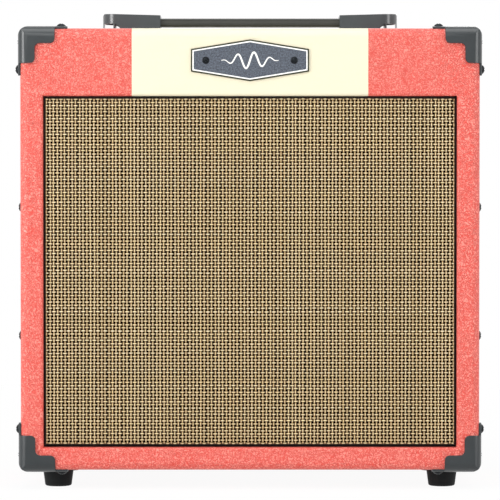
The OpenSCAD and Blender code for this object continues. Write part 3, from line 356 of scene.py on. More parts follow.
def pebbled_vinyl(name, low, high, cell, depth, roughness):
    """Embossed vinyl: pebbles of size cell that stand depth above their creases, in metres."""
    material, tree, shader = finish_of(name, Roughness=roughness, IOR=1.52, Coat_Weight=0.12,
                                       Coat_Roughness=0.35)
    place = place_of(tree)
    drift = add(tree, "ShaderNodeTexNoise", {"Vector": place, "Scale": 0.5 / cell}).outputs["Color"]
    moved = add(tree, "ShaderNodeMixRGB", {"Fac": DRIFT, "Color1": place, "Color2": drift},
                blend_type="ADD")
    cells = add(tree, "ShaderNodeTexVoronoi", {"Vector": moved.outputs[0], "Scale": 1 / cell},
                feature="DISTANCE_TO_EDGE")
    top = add(tree, "ShaderNodeMapRange", {"Value": cells.outputs["Distance"], "From Max": CREASE},
              interpolation_type="SMOOTHSTEP")
    cloud = grain(tree, place, 9 * MM)
    drawn = add(tree, "ShaderNodeMath", {0: cloud, 1: CLOUD_SHARE, 2: -CLOUD_SHARE / 2},
                operation="MULTIPLY_ADD")
    # Painted light: the pebble tops are coloured lighter, as a painted highlight, and the creases
    # darker, as painted shade
    tone = add(tree, "ShaderNodeMath", {0: top.outputs[0], 1: PEBBLE_LIGHT_SHARE, 2: drawn.outputs[0]},
               operation="MULTIPLY_ADD")
    colour_by(tree, shader, tone.outputs[0], low, high)
    bump_of(tree, shader, top.outputs[0], depth)
    bump_of(tree, shader, grain(tree, place, 0.5 * MM), depth / 4)
    return material


red_vinyl = pebbled_vinyl("pebbled red vinyl", "D84538", "FF9B8E", 2.3 * MM, 0.3 * MM, 0.4)
cream_vinyl = pebbled_vinyl("smooth cream vinyl", "E2DBBF", "E9E2CA", 1.1 * MM, 0.02 * MM, 0.48)

for node, material, slot in (("vinyl_cover", red_vinyl, "red_vinyl"),
                             ("stripe_cover", cream_vinyl, "cream_vinyl")):
    coat(frame["nodes"][node], material)
    print(node, "in", material.name)

# %% [markdown]
# ## Woven grille
# Grille cloth is a plain weave of plastic-coated yarns: every upright yarn goes over one cross yarn
# and under the next. A pattern would look flat from the side, so the yarns themselves are modelled.
# One yarn is a flattened six-sided tube, extruded through two crossings, and Array modifiers repeat
# it along its length and across the cloth. Odd and even yarns swing in opposite ways. The cross
# yarns swing most, because the uprights are pulled tighter on the loom.

# %% Yarn sizes
cloth_low, cloth_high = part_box("grille_cloth")
UPRIGHT_PITCH = 2.97 * MM
CROSS_PITCH = 2.57 * MM
UPRIGHT_W = 1.3 * MM
CROSS_W = 1.1 * MM
YARN_T = 0.62 * MM
YARN_SIDES = 6
UPRIGHT_SWING = 0.18 * MM
CROSS_SWING = 0.56 * MM
TURN_R = 1.6 * MM  # the cloth's rounding where it turns back over its frame
YARN_PROUD = 0.65 * MM  # how far the yarns stand in front of the plain CAD cloth
JOIN = 0.01 * MM  # points closer than this are one
cloth_w = cloth_high.x - cloth_low.x
cloth_h = cloth_high.z - cloth_low.z
uprights = 2 * round(cloth_w / UPRIGHT_PITCH / 2)
crosses = 2 * round(cloth_h / CROSS_PITCH / 2)
pitch_x = cloth_w / uprights
pitch_z = cloth_h / crosses
y_weave = cloth_low.y - YARN_PROUD + CROSS_SWING + YARN_T / 2
print("yarns:", uprights, "upright and", crosses, "across")


# %% Extrude, repeat and close a tube
def extrude(by):
    """Extrudes what is selected by a vector."""
    bpy.ops.mesh.extrude_region_move(TRANSFORM_OT_translate={"value": by})


def repeat(obj, count, offset, join=False):
    """Repeats a piece count times, each copy offset from the last, with or without joining them."""
    modify(obj, "ARRAY", count=count, use_relative_offset=False, use_constant_offset=True,
           constant_offset_displace=offset, use_merge_vertices=join, merge_threshold=JOIN)


def close_ends(obj, sides):
    """Fills the two open ends of a tube with this many sides, and turns its faces outwards."""
    edit(obj, "VERT")
    bpy.ops.mesh.select_all(action="SELECT")
    bpy.ops.mesh.fill_holes(sides=sides)
    bpy.ops.mesh.normals_make_consistent(inside=False)
    close_edit()


# %% One family of yarns
def yarn_family(width, swing, along, across, crossings, count):
    """Yarns along +Z, side by side on X. They swing back first, or forwards if swing is below 0."""
    bpy.ops.mesh.primitive_circle_add(vertices=YARN_SIDES, radius=1, fill_type="NOTHING")
    yarn = bpy.context.object
    yarn.scale = (width / 2, YARN_T / 2 / math.sin(math.radians(60)), 1)
    settle(yarn, "yarn")
    edit(yarn, "VERT")
    bpy.ops.mesh.select_all(action="SELECT")
    before = 0.0
    for quarter in (1, 2, 3, 4):
        bend = swing * math.sin(quarter * math.pi / 2)
        extrude((0, bend - before, along / 2))
        before = bend
    close_edit()
    repeat(yarn, crossings // 2, (0, 0, 2 * along), join=True)
    close_ends(yarn, YARN_SIDES)
    repeat(yarn, count // 2, (2 * across, 0, 0))
    return yarn


# %% How a yarn strays
SLOW_STRAY = 0.16 * MM
QUICK_STRAY = 0.06 * MM


def yarn_habits(count, seed):
    """For each yarn, how it strays sideways along its run, and its tint and shade."""
    own = random.Random(seed)
    return [{"off": own.uniform(-0.12, 0.12) * MM, "slow": own.uniform(18, 34),
             "quick": own.uniform(90, 160), "start": own.uniform(0, 6.3),
             "tint": own.random(), "shade": own.random()} for _ in range(count)]


def turned_in(point):
    """How far back a point lies where the cloth turns round its frame."""
    edge = min(point.x - cloth_low.x, cloth_high.x - point.x,
               point.z - cloth_low.z, cloth_high.z - point.z)
    inside = TURN_R - min(max(edge, 0.0), TURN_R)
    return TURN_R - math.sqrt(TURN_R ** 2 - inside ** 2)


def lay_yarns(piece, run, side, pitch, habits):
    """Strays each yarn a little, keeps it on the cloth and turns the cloth's edge in."""
    start = cloth_low[side]
    tints = piece.data.attributes.new("tint", "FLOAT", "POINT").data
    shades = piece.data.attributes.new("shade", "FLOAT", "POINT").data
    for i, vertex in enumerate(piece.data.vertices):
        index = min(max(int((vertex.co[side] - start) / pitch), 0), len(habits) - 1)
        habit = habits[index]
        tints[i].value = habit["tint"]
        shades[i].value = habit["shade"]
        along = vertex.co[run]
        slow = math.sin(along * habit["slow"] + habit["start"])
        quick = math.sin(along * habit["quick"] + 2 * habit["start"])
        vertex.co[side] += habit["off"] + SLOW_STRAY * slow + QUICK_STRAY * quick
        for axis in (0, 2):
            vertex.co[axis] = min(max(vertex.co[axis], cloth_low[axis]), cloth_high[axis])
        vertex.co.y += turned_in(vertex.co)


# %% Weave the uprights through the cross yarns
yarn_pieces = []
upright_habits = yarn_habits(uprights, 4)
cross_habits = yarn_habits(crosses, 9)
for half in (0, 1):
    way = 1 if half else -1
    upright = yarn_family(UPRIGHT_W, way * UPRIGHT_SWING, pitch_z, pitch_x, crosses, uprights)
    upright.location = (cloth_low.x + (half + 0.5) * pitch_x, y_weave, cloth_low.z)
    settle(upright, f"grille_uprights_{half + 1}")
    lay_yarns(upright, 2, 0, pitch_x, upright_habits)
    cross = yarn_family(CROSS_W, -way * CROSS_SWING, pitch_x, -pitch_z, uprights, crosses)
    cross.rotation_euler = (0, math.radians(90), 0)
    cross.location = (cloth_low.x, y_weave, cloth_low.z + (half + 0.5) * pitch_z)
    settle(cross, f"grille_crosses_{half + 1}")
    lay_yarns(cross, 0, 2, pitch_z, cross_habits)
    yarn_pieces += [upright, cross]
for piece in yarn_pieces:
    select_only(piece)
    bpy.ops.object.shade_smooth()
    print(piece.name, "has", sum(len(f.vertices) - 2 for f in piece.data.polygons), "triangles")

# %% [markdown]
# The yarns run from tan to pale straw, each in its own tint and shade, and their coating has a soft
# gloss. Where a yarn dips to the back of the weave its colour turns dark brown: that is painted
# shade, because soft light alone leaves those dips too pale, so the colour follows the depth. A
# black scrim behind the yarns keeps the inside dark, as painted shade too: a sheet of thin cloth,
# stretched over the frame with them and turned round its four edges.

# %% Yarn coating
DIP = 0.5 * MM  # the depth over which the painted shade darkens a yarn
yarn_coating, tree, shader = finish_of("coated grille yarn", Roughness=0.5, IOR=1.5)
tint = add(tree, "ShaderNodeAttribute", attribute_name="tint").outputs["Fac"]
shade = add(tree, "ShaderNodeAttribute", attribute_name="shade").outputs["Fac"]
yarn_colours = blend_colours(tree, tint, "DDCEA2", "ECE4C1")
middle_tone = yarn_colours.color_ramp.elements.new(0.5)
middle_tone.color = rgb("E5D8AF")
dull = add(tree, "ShaderNodeMapRange", {"Value": shade, "To Min": 0.8, "To Max": 0.96})
# Painted shade: the yarn colour darkens through tan to dark brown towards the back of the weave, by
# depth along Y
depth_in = add(tree, "ShaderNodeSeparateXYZ", {"Vector": place_of(tree)})
inner = add(tree, "ShaderNodeMapRange", {"Value": depth_in.outputs["Y"],
                                         "From Min": y_weave - DIP, "From Max": y_weave})
between = blend_colours(tree, inner.outputs[0], "FFFFFF", "2A1608")
between_flank = between.color_ramp.elements.new(0.5)
between_flank.color = rgb("B99358")
shaded = add(tree, "ShaderNodeVectorMath", {0: yarn_colours.outputs[0], 1: between.outputs[0]},
             operation="MULTIPLY")
toned = add(tree, "ShaderNodeVectorMath", {0: shaded.outputs[0]}, operation="SCALE")
tree.links.new(dull.outputs[0], toned.inputs["Scale"])
tree.links.new(toned.outputs[0], shader.inputs["Base Color"])
bump_of(tree, shader, grain(tree, place_of(tree), 0.35 * MM), 0.03 * MM)
print("finish:", yarn_coating.name)

# %% Scrim cloth
THREAD = 0.7 * MM
# Painted shade: a near-black cloth right behind the yarns, so that every gap in the weave reads
# dark
shade_scrim_cloth, tree, shader = finish_of("black scrim cloth", Roughness=0.95, Specular_IOR_Level=0.1)
threads = add(tree, "ShaderNodeTexChecker", {"Vector": place_of(tree), "Scale": 1 / THREAD,
                                             "Color1": rgb("0B0908"), "Color2": rgb("1A130E")})
tree.links.new(threads.outputs["Color"], shader.inputs["Base Color"])
bump_of(tree, shader, threads.outputs["Fac"], 0.05 * MM)
print("finish:", shade_scrim_cloth.name)

# %% The scrim, and the cloth's turned edge
frame_low, frame_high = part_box("grille_frame")
SCRIM_T = 0.1 * MM
SCRIM_ROUND = 1.2 * MM  # its rounding over the frame's front edges
EDGE_T = 0.8 * MM
EDGE_GAP = 0.3 * MM  # between the frame's edge and the scrim


def stretched_shell(name, low, high, front, thickness):
    """A thin skin over the frame: its four edges and, if front is true, its face."""
    bpy.ops.mesh.primitive_cube_add(size=1, location=(Vector(low) + Vector(high)) / 2)
    shell = bpy.context.object
    shell.scale = Vector(high) - Vector(low)
    settle(shell, name)
    edit(shell)
    pick(lambda face: face.normal.y > 0.5 or (not front and face.normal.y < -0.5))
    bpy.ops.mesh.delete(type="FACE")
    if front:
        pick(lambda edge: all(v.co.y < low[1] + JOIN for v in edge.verts), "EDGE")
        bpy.ops.mesh.bevel(offset=SCRIM_ROUND, segments=3)
    close_edit()
    modify(shell, "SOLIDIFY", thickness=thickness, offset=-1)
    return smooth(shell)


scrim_front = y_weave + CROSS_SWING + YARN_T / 2 + JOIN
scrim = stretched_shell("grille_shade_scrim",
                        (frame_low.x - EDGE_GAP, scrim_front, frame_low.z - EDGE_GAP),
                        (frame_high.x + EDGE_GAP, cloth_high.y, frame_high.z + EDGE_GAP),
                        True, SCRIM_T)
turned_edge = stretched_shell("grille_turned_edge",
                              (cloth_low.x, cloth_low.y + TURN_R, cloth_low.z),
                              (cloth_high.x, cloth_high.y, cloth_high.z), False, EDGE_T)
dress(scrim, shade_scrim_cloth)
# The turned edge lies behind the weave, so the yarn coating's painted shade makes it dark brown
dress(turned_edge, yarn_coating)
for piece in yarn_pieces:
    dress(piece, yarn_coating)
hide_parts("grille_cloth")

# %% [markdown]
# ## Finishes for moulded, plated and painted pieces
# Most small pieces are moulded plastic, painted steel or plated steel. One flat colour with one
# roughness could stand for each, but real moulded plastic and powder coat are never that even:
# their tone drifts a little, and the tool's spark-eroded texture breaks up every reflection.
# Plating shows the brushing of the metal under it, and planed wood its long grain. One function for
# each of the three kinds keeps them alike.


# %% Moulded plastic, rubber and paint
def moulded(name, low, high, roughness, grit=0.3 * MM, depth=0.02 * MM, patch=11 * MM, **more):
    """Plastic, rubber or paint: two close colours in soft patches under a fine moulded grit."""
    material, tree, shader = finish_of(name, **more)
    place = place_of(tree)
    colour_by(tree, shader, grain(tree, place, patch), low, high)
    gloss_by(tree, shader, grain(tree, place, patch / 4), roughness - 0.06, roughness + 0.08)
    bump_of(tree, shader, grain(tree, place, grit), depth)
    return material


# %% Metal
def metal(name, low, high, roughness, stretch=(1, 1, 1), line=0.35 * MM, depth=0.006 * MM):
    """Bare or plated metal, with brushing drawn out along the axes that stretch makes small."""
    material, tree, shader = finish_of(name, Metallic=1.0)
    place = place_of(tree, stretch)
    lines = grain(tree, place, line, 4.0)
    colour_by(tree, shader, grain(tree, place_of(tree), 8 * MM), low, high)
    gloss_by(tree, shader, lines, roughness - 0.08, roughness + 0.1)
    bump_of(tree, shader, lines, depth)
    return material


# %% Wood
GRAIN_STRETCH = 0.05  # the pattern is drawn out 20 times along the grain


def timber(name, low, high, run, ring=3.2 * MM):
    """Planed wood whose grain runs along axis run, with fine pores drawn out the same way."""
    material, tree, shader = finish_of(name, Roughness=0.6, IOR=1.45)
    along = [GRAIN_STRETCH if axis == run else 1.0 for axis in range(3)]
    place = place_of(tree, along)
    rings = add(tree, "ShaderNodeTexNoise", {"Vector": place, "Scale": 1 / ring, "Detail": 5.0,
                                             "Roughness": 0.62, "Distortion": 0.7})
    pores = grain(tree, place, 0.5 * MM, 2.0)
    tone = add(tree, "ShaderNodeMath", {0: pores, 1: 0.3, 2: rings.outputs["Fac"]},
               operation="MULTIPLY_ADD")
    spread = add(tree, "ShaderNodeMapRange", {"Value": tone.outputs[0], "From Min": 0.4,
                                              "From Max": 0.9})
    colour_by(tree, shader, spread.outputs[0], low, high)
    bump_of(tree, shader, pores, 0.04 * MM)
    return material


# %% Woods and boards
# Poplar plywood, painted particle board and pine make the box.
plywood_across = timber("poplar plywood, grain across", "B98F5E", "DDBE8E", 0)
plywood_upright = timber("poplar plywood, grain upright", "B98F5E", "DDBE8E", 2)
pine_wood = timber("planed pine", "C89A5C", "EACB93", 0, 4.5 * MM)
black_board = moulded("black painted board", "191817", "23211F", 0.72, 0.8 * MM, 0.08 * MM)
print("materials so far:", len(bpy.data.materials))

# %% Plastics, rubbers and paints
# Satin ABS has a light moulded texture and a low, broad gloss. Rubber has none.
satin_abs = moulded("satin black ABS", "191F22", "242B2E", 0.36, 0.4 * MM, 0.01 * MM,
                    Coat_Weight=0.4, Coat_Roughness=0.24, Specular_IOR_Level=0.4)
grey_abs = moulded("matt grey ABS", "262D30", "323A3D", 0.3, 0.4 * MM, 0.01 * MM,
                   Coat_Weight=0.5, Coat_Roughness=0.16)
foot_rubber = moulded("moulded rubber", "131516", "1E2021", 0.62, 0.5 * MM, 0.03 * MM,
                      Specular_IOR_Level=0.16)
strap_vinyl = moulded("soft strap vinyl", "2C2D29", "363733", 0.46, 0.7 * MM, 0.05 * MM)
soft_rubber = moulded("pleated foam rubber", "151515", "1E1E1E", 0.75, 0.4 * MM, 0.03 * MM)
knob_phenolic = moulded("black phenolic", "111213", "1A1B1C", 0.25, 0.5 * MM, 0.006 * MM)
pocket_plastic = moulded("black nylon", "141516", "1D1E1F", 0.45)
ivory_plastic = moulded("ivory ABS", "E6DEC4", "F0E9D2", 0.35)
red_plastic = moulded("red polycarbonate", "B01712", "C6241C", 0.28)
white_enamel = moulded("white enamel", "F4F4F0", "FDFDFB", 0.4, 0.3 * MM, 0.006 * MM)
lamp_red = moulded("red lens", "D01A14", "E8352B", 0.15)
# Powder coat has the faint orange peel of a baked powder.
powder_coat = moulded("black powder coat", "17181A", "202224", 0.42, 0.9 * MM, 0.03 * MM)
ferrite = moulded("sintered ferrite", "2B2B2D", "3A3A3C", 0.55, 0.5 * MM, 0.04 * MM)
cone_paper = moulded("pressed paper cone", "2A2826", "3A3733", 0.85, 0.7 * MM, 0.09 * MM, 4 * MM)
amber_cloth = moulded("resin-soaked cotton", "A8742B", "C48D3C", 0.55, 0.5 * MM, 0.09 * MM, 3 * MM)
phenolic = moulded("brown phenolic paper", "6B4226", "7F5232", 0.5)
red_sheath = moulded("red wire sheath", "A81E1A", "BC2A24", 0.4)
black_sheath = moulded("black wire sheath", "151515", "202020", 0.4)
green_laminate = moulded("green fibreglass laminate", "1B5A32", "2B7543", 0.35, 0.9 * MM,
                         0.03 * MM)
sleeve_blue = moulded("shrunk sleeve", "1B2A4A", "24365C", 0.35)
winding_tape = moulded("yellow winding tape", "C9A22C", "DDB944", 0.45)
print("materials so far:", len(bpy.data.materials))

# %% Metals
# Screws are blackened in oil; small fittings are zinc or nickel plated.
black_steel = metal("oil-blackened steel", "1C1E20", "2E3134", 0.26)
zinc_steel = metal("zinc-plated steel", "A9ADB0", "C6CACC", 0.32)
nickel = metal("nickel plating", "B9B4A8", "D2CDC2", 0.22)
core_steel = metal("laminated core steel", "54565A", "7E8084", 0.4, (1, 1, 0.01), 0.5 * MM,
                   0.03 * MM)
tray_steel = metal("zinc-plated sheet", "A4A8AA", "BFC3C5", 0.38, (0.03, 1, 1))
copper = metal("enamelled copper wire", "9C4A22", "C9713A", 0.3, (1, 0.01, 1), 0.4 * MM,
               0.05 * MM)
turned_aluminium = metal("turned aluminium", "C4C6C8", "DDDEDF", 0.25)
print("materials so far:", len(bpy.data.materials))

# %% [markdown]
# ## Edges
# CAD edges are knife sharp, and no moulded or pressed piece is. A sharp edge has no highlight, so
# it looks like paper. A bevel in the shader could fake one, but it isn't in the mesh. Each CAD
# piece that shows is therefore copied, its doubles merged, and its edges bevelled by what its
# process gives: 0.06 to 0.2 mm on screws and small metal, 0.1 to 0.5 mm on mouldings, 0.3 to 0.6 mm
# on cast and pressed metal, 0.8 mm on a covered board and 1.2 mm on rubber. Pieces that are rounded
# in CAD, or that hardly show, keep their mesh.

# %% Which pieces keep their CAD mesh, and their finish
KEPT = {"top_board": plywood_across, "bottom_board": plywood_across,
        "left_side_board": plywood_upright, "right_side_board": plywood_upright,
        "fascia_board": plywood_across, "baffle_board": black_board, "pine_cleats": pine_wood,
        "grille_frame": pine_wood, "speaker_gasket": cone_paper, "speaker_cone": cone_paper,
        "speaker_dust_cap": cone_paper, "voice_coil": copper, "speaker_bolts": zinc_steel,
        "foot_screws": zinc_steel, "tee_nuts": zinc_steel, "reverb_springs": zinc_steel,
        "pilot_lamp": lamp_red, "chassis": powder_coat}
for node, material in KEPT.items():
    coat(frame["nodes"][node], material)
print("CAD pieces that keep their mesh:", len(KEPT))


# %% A softened copy of a CAD node
DOUBLE = 0.004 * MM
FLAT = math.radians(0.5)
SHARP = math.radians(32)  # edges sharper than this are bevelled


def clean_copy(node, name, whole):
    """A copy of a CAD node's mesh with its doubles merged and, if whole, its flat faces joined."""
    mesh = frame["nodes"][node].data.copy()
    obj = new_object(name, mesh)
    edit(obj, "VERT")
    bpy.ops.mesh.select_all(action="SELECT")
    bpy.ops.mesh.remove_doubles(threshold=DOUBLE)
    if whole:
        bpy.ops.mesh.dissolve_limited(angle_limit=FLAT)
    close_edit()
    if mesh.has_custom_normals:
        bpy.ops.mesh.customdata_custom_splitnormals_clear()
    mesh.name = name
    return obj


def softened(node, width, whole):
    """A clean copy of a CAD node with its sharp edges rounded, which stands for the node."""
    obj = clean_copy(node, node + "_soft", whole)
    modify(obj, "BEVEL", width=width, segments=2, limit_method="ANGLE", angle_limit=SHARP,
           miter_outer="MITER_ARC", use_clamp_overlap=False)
    smooth(obj)
    modify(obj, "WEIGHTED_NORMAL", keep_sharp=True)
    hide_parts(node)
    return obj


# %% Softened copies: node, bevel in millimetres, finish and slot
# A flat face with many cuts in it fills badly as one face, so these keep their triangles.
PERFORATED = ("handle_cap_left", "handle_cap_right", "reverb_tank", "fuse_drawer",
              "switch_housings")
MOVING = {"power_rocker": "rocker", "channel_button": "button", "fuse_drawer": "drawer"}
KNOB_BEVEL = 0.12 * MM
SOFTENED = (
    ("front_corners", 0.4, satin_abs, "black_abs"),
    ("rear_corners", 0.4, satin_abs, "black_abs"),
    ("corner_screws", 0.15, black_steel, "blackened_steel"),
    ("baffle_screws", 0.15, black_steel, "blackened_steel"),
    ("panel_screws", 0.12, black_steel, "blackened_steel"),
    ("badge_screws", 0.06, black_steel, "blackened_steel"),
    ("handle_screws", 0.15, zinc_steel, "zinc_steel"),
    ("handle_cap_left", 0.1, grey_abs, "black_abs"),
    ("handle_cap_right", 0.1, grey_abs, "black_abs"),
    ("feet", 1.2, foot_rubber, "black_rubber"),
    ("lower_rear_panel", 0.8, red_vinyl, "red_vinyl"),
    ("control_panel", 0.3, powder_coat, "black_steel"),
    ("circuit_board", 0.15, green_laminate, "green_laminate"),
    ("switch_housings", 0.2, pocket_plastic, "black_abs"),
    ("jack_sockets", 0.2, nickel, "nickel"),
    ("potentiometers", 0.2, nickel, "nickel"),
    ("mains_inlet", 0.35, pocket_plastic, "black_abs"),
    ("power_transformer", 0.3, core_steel, "core_steel"),
    ("reverb_tank", 0.2, tray_steel, "zinc_steel"),
    ("speaker_basket", 0.4, powder_coat, "black_steel"),
    ("speaker_magnet", 0.6, ferrite, "ferrite"),
    ("speaker_top_plate", 0.3, zinc_steel, "zinc_steel"),
    ("speaker_yoke", 0.4, zinc_steel, "zinc_steel"),
    ("speaker_terminals", 0.1, phenolic, "phenolic"),
    ("speaker_leads", 0.1, black_sheath, "wire_sheath"),
    ("power_rocker", 0.3, red_plastic, "red_plastic"),
    ("channel_button", 0.5, ivory_plastic, "ivory_plastic"),
    ("fuse_drawer", 0.3, pocket_plastic, "black_abs"),
)
KNOBS = ("gain_knob", "volume_knob", "bass_knob", "middle_knob", "treble_knob", "reverb_knob")
pieces = {}
for node, bevel, material, slot in SOFTENED:
    piece = softened(node, bevel * MM, node not in PERFORATED)
    pieces[node] = dress(piece, material, MOVING.get(node, "cabinet"))
for node in KNOBS:
    piece = softened(node, KNOB_BEVEL, False)
    pieces[node] = dress(piece, knob_phenolic, node)
print("softened pieces:", len(pieces), "with", sum(len(p.data.polygons) for p in pieces.values()),
      "faces")


# %% [markdown]
# ## Surround and spider
# Two soft rings carry the cone: a rubber half-roll at its rim and a corrugated cotton disc round
# its coil. Their outer edges are glued to the frame and their inner edges to the cone, so they bend
# when it moves. A piece can bend along one line only, so each ring is made of equal slices. One
# slice is cut from the CAD ring by two bisecting planes through the hub, and copies of it are
# turned round the hub.

# %% Rings cut into slices round the hub
def centre_of(node):
    """The middle of a CAD node's box."""
    low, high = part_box(node)
    return (low + high) / 2


def bending_ring(node, slices, material):
    """Slices of a CAD ring, cut through its hub and turned round it."""
    hub = centre_of(node)
    half = math.pi / slices
    first = clean_copy(node, node + "_1", False)
    edit(first)
    for side in (-1, 1):
        bpy.ops.mesh.select_all(action="SELECT")
        bpy.ops.mesh.bisect(plane_co=hub, use_fill=True, clear_outer=True,
                            plane_no=(-math.sin(half), 0, side * math.cos(half)))
    close_edit()
    for index in range(slices):
        turn = Matrix.Rotation(2 * half * index, 4, "Y")
        piece = first
        if index:
            piece = new_object(f"{node}_{index + 1}", first.data.copy())
            piece.data.transform(Matrix.Translation(hub) @ turn @ Matrix.Translation(-hub))
            piece.data.name = piece.name
        smooth(piece)
        dress(piece, material, None)
        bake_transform(piece)
        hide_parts(node)


bending_ring("speaker_surround", 24, soft_rubber)
bending_ring("speaker_spider", 12, amber_cloth)

# %% [markdown]
# ## Second finishes
# Some CAD pieces are more than one material in real life: a knob has a turned cap and a printed
# index, an inlet has plated pins. They could be cut apart, but one mesh keeps a piece whole, and a
# second material on some of its faces looks the same. The faces are picked by their place.


# %% Paint on some faces
def paint(obj, material, test):
    """Puts a second material on the faces whose middle passes test."""
    obj.data.materials.append(material)
    index = len(obj.data.materials) - 1
    count = 0
    for face in obj.data.polygons:
        if test(face.center, face.normal):
            face.material_index = index
            count += 1
    return count


def near(value, goal, reach):
    """Whether value lies within reach millimetres of goal."""
    return abs(value - goal) < reach * MM


# %% Cap and index of the knobs
CAP_T = 0.1 * MM
INDEX_TOP = 0.12 * MM  # below the knob's top
INDEX_FOOT = 0.8 * MM
INDEX_HALF_W = 0.6
INDEX_MID = 4 * MM  # behind the knob's middle
INDEX_HALF_L = 3.2
panel_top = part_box("control_panel")[1].z
for node in KNOBS:
    hub = centre_of(node)
    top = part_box(node)[1].z
    painted = paint(pieces[node], turned_aluminium,
                    lambda c, n: n.z > 0.9 and c.z > top - CAP_T)
    painted += paint(pieces[node], white_enamel,
                     lambda c, n: near(c.x, hub.x, INDEX_HALF_W) and c.y > hub.y
                     and top - INDEX_FOOT < c.z < top - INDEX_TOP
                     and near(c.y, hub.y + INDEX_MID, INDEX_HALF_L))
print("faces painted on a knob:", painted)

# %% Inlet pins and jack nuts
PINS = ((-7, 6.6), (7, 6.6), (0, 2.6))
PIN_HALF_W = 1.15
PIN_HALF_H = 2.15
PIN_FOOT_Y = 81.4 * MM
BODY_DOWN = 1.6 * MM  # a jack's plastic body lies this far below the panel
BODY_END_Y = 95.9 * MM
inlet = centre_of("mains_inlet")
painted = 0
for x, z in PINS:
    painted += paint(pieces["mains_inlet"], nickel,
                     lambda c, n: near(c.x, inlet.x + x * MM, PIN_HALF_W)
                     and near(c.z, inlet.z + z * MM, PIN_HALF_H) and c.y > PIN_FOOT_Y)
print("faces painted on the inlet's pins:", painted)
painted = paint(pieces["jack_sockets"], pocket_plastic,
                lambda c, n: c.z < panel_top - BODY_DOWN and c.y < BODY_END_Y)
print("faces painted on the jacks:", painted)

# %% Parts on the circuit board
BOARD_T = 1.8 * MM
CAPACITORS_TO = 58 * MM
CHIPS_FROM = 66 * MM
SINK_TO = 80 * MM
SINK_FROM_X = 40 * MM
board = pieces["circuit_board"]
board_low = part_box("potentiometers")[0].z - BOARD_T
painted = paint(board, sleeve_blue, lambda c, n: c.z < board_low and c.y < CAPACITORS_TO)
painted += paint(board, pocket_plastic, lambda c, n: c.z < board_low and c.y > CHIPS_FROM)
painted += paint(board, turned_aluminium, lambda c, n: c.z < board_low and c.x > SINK_FROM_X
                 and CAPACITORS_TO <= c.y <= SINK_TO)
print("faces painted on the circuit board:", painted)

# %% Windings, brackets and terminals
COIL_HALF_W = 15.9
COIL_FROM = 10.02 * MM
COIL_TO = 18.2 * MM
COIL_UP = 3 * MM
BRACKET_FROM = 24.2 * MM
TAG_FROM = 3 * MM
coil = centre_of("power_transformer")
coil_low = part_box("power_transformer")[0].z + COIL_UP
painted = paint(pieces["power_transformer"], winding_tape,
                lambda c, n: near(c.x, coil.x, COIL_HALF_W) and coil_low < c.z
                and COIL_FROM < abs(c.y - coil.y) < COIL_TO)
painted += paint(pieces["power_transformer"], zinc_steel,
                 lambda c, n: abs(c.x - coil.x) > BRACKET_FROM)
print("faces painted on the transformer:", painted)
tag_y = centre_of("speaker_terminals").y
painted = paint(pieces["speaker_terminals"], zinc_steel,
                lambda c, n: c.y < tag_y and abs(c.x) > TAG_FROM)
print("faces painted on the terminals:", painted)

# %% One of the two leads is red
leads = pieces["speaker_leads"]
edit(leads, "VERT")
pick(lambda vertex: vertex.index == 0, "VERT")
bpy.ops.mesh.select_linked()
leads.data.materials.append(red_sheath)
leads.active_material_index = 1
bpy.ops.mesh.select_mode(type="FACE")
bpy.ops.object.material_slot_assign()
close_edit()
select_only(leads)
bpy.ops.object.shade_smooth()
print("red faces:", sum(face.material_index for face in leads.data.polygons), "of",
      len(leads.data.polygons))

# %% [markdown]
# ## Badge
# The badge is a pressed plate with six corners: an outer rim, a white line beside it, and a sunk
# grey face with a fine hammered grain. Its field carries a plain tapered wave, an ornament that
# stands for sound. Three flat plates could be stacked, but a circle of six points, stretched to the
# outline and inset in steps, gives rim, line and face in one closed piece.

# %% Badge finishes
badge_rim = metal("dark bronze rim", "34352A", "4A4B3C", 0.4)
badge_face, tree, shader = finish_of("hammered grey face", Roughness=0.5, Metallic=0.25)
place = place_of(tree)
dents = grain(tree, place, 1.2 * MM, 3.0, 0.7)
spread = add(tree, "ShaderNodeMapRange", {"Value": dents, "From Min": 0.36, "From Max": 0.64})
colour_by(tree, shader, spread.outputs[0], "353A43", "626975")
bump_of(tree, shader, dents, 0.06 * MM)
print("finishes:", badge_rim.name, "and", badge_face.name)

# %% Badge plate
badge_low, badge_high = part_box("badge_plate")
badge_mid = (badge_low + badge_high) / 2
BADGE_END_H = 18.1 * MM
RIM_W = 1.2 * MM
LINE_W = 1.0 * MM
SINK_W = 0.12 * MM
SINK = 0.14 * MM
BADGE_BEVEL = 0.12 * MM
bpy.ops.mesh.primitive_circle_add(vertices=6, radius=1, fill_type="NGON",
                                  rotation=(math.radians(90), 0, 0))
badge = bpy.context.object
badge.scale = ((badge_high.x - badge_low.x) / 2 / math.cos(math.radians(30)),
               (badge_high.z - badge_low.z) / 2, 1)
badge.location = (badge_mid.x, badge_low.y, badge_mid.z)
settle(badge, "badge")
dress(badge, badge_rim)
badge.data.materials.append(white_enamel)
badge.data.materials.append(badge_face)
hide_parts("badge_plate")
edit(badge, "VERT")
pick(lambda v: abs(v.co.x) > 1 * MM, "VERT")
corner_z = max(abs(v.co.z - badge_mid.z) for v in badge.data.vertices if abs(v.co.x) > 1 * MM)
bpy.ops.transform.resize(value=(1, 1, BADGE_END_H / 2 / corner_z), center_override=badge_mid)
pick(lambda face: True)
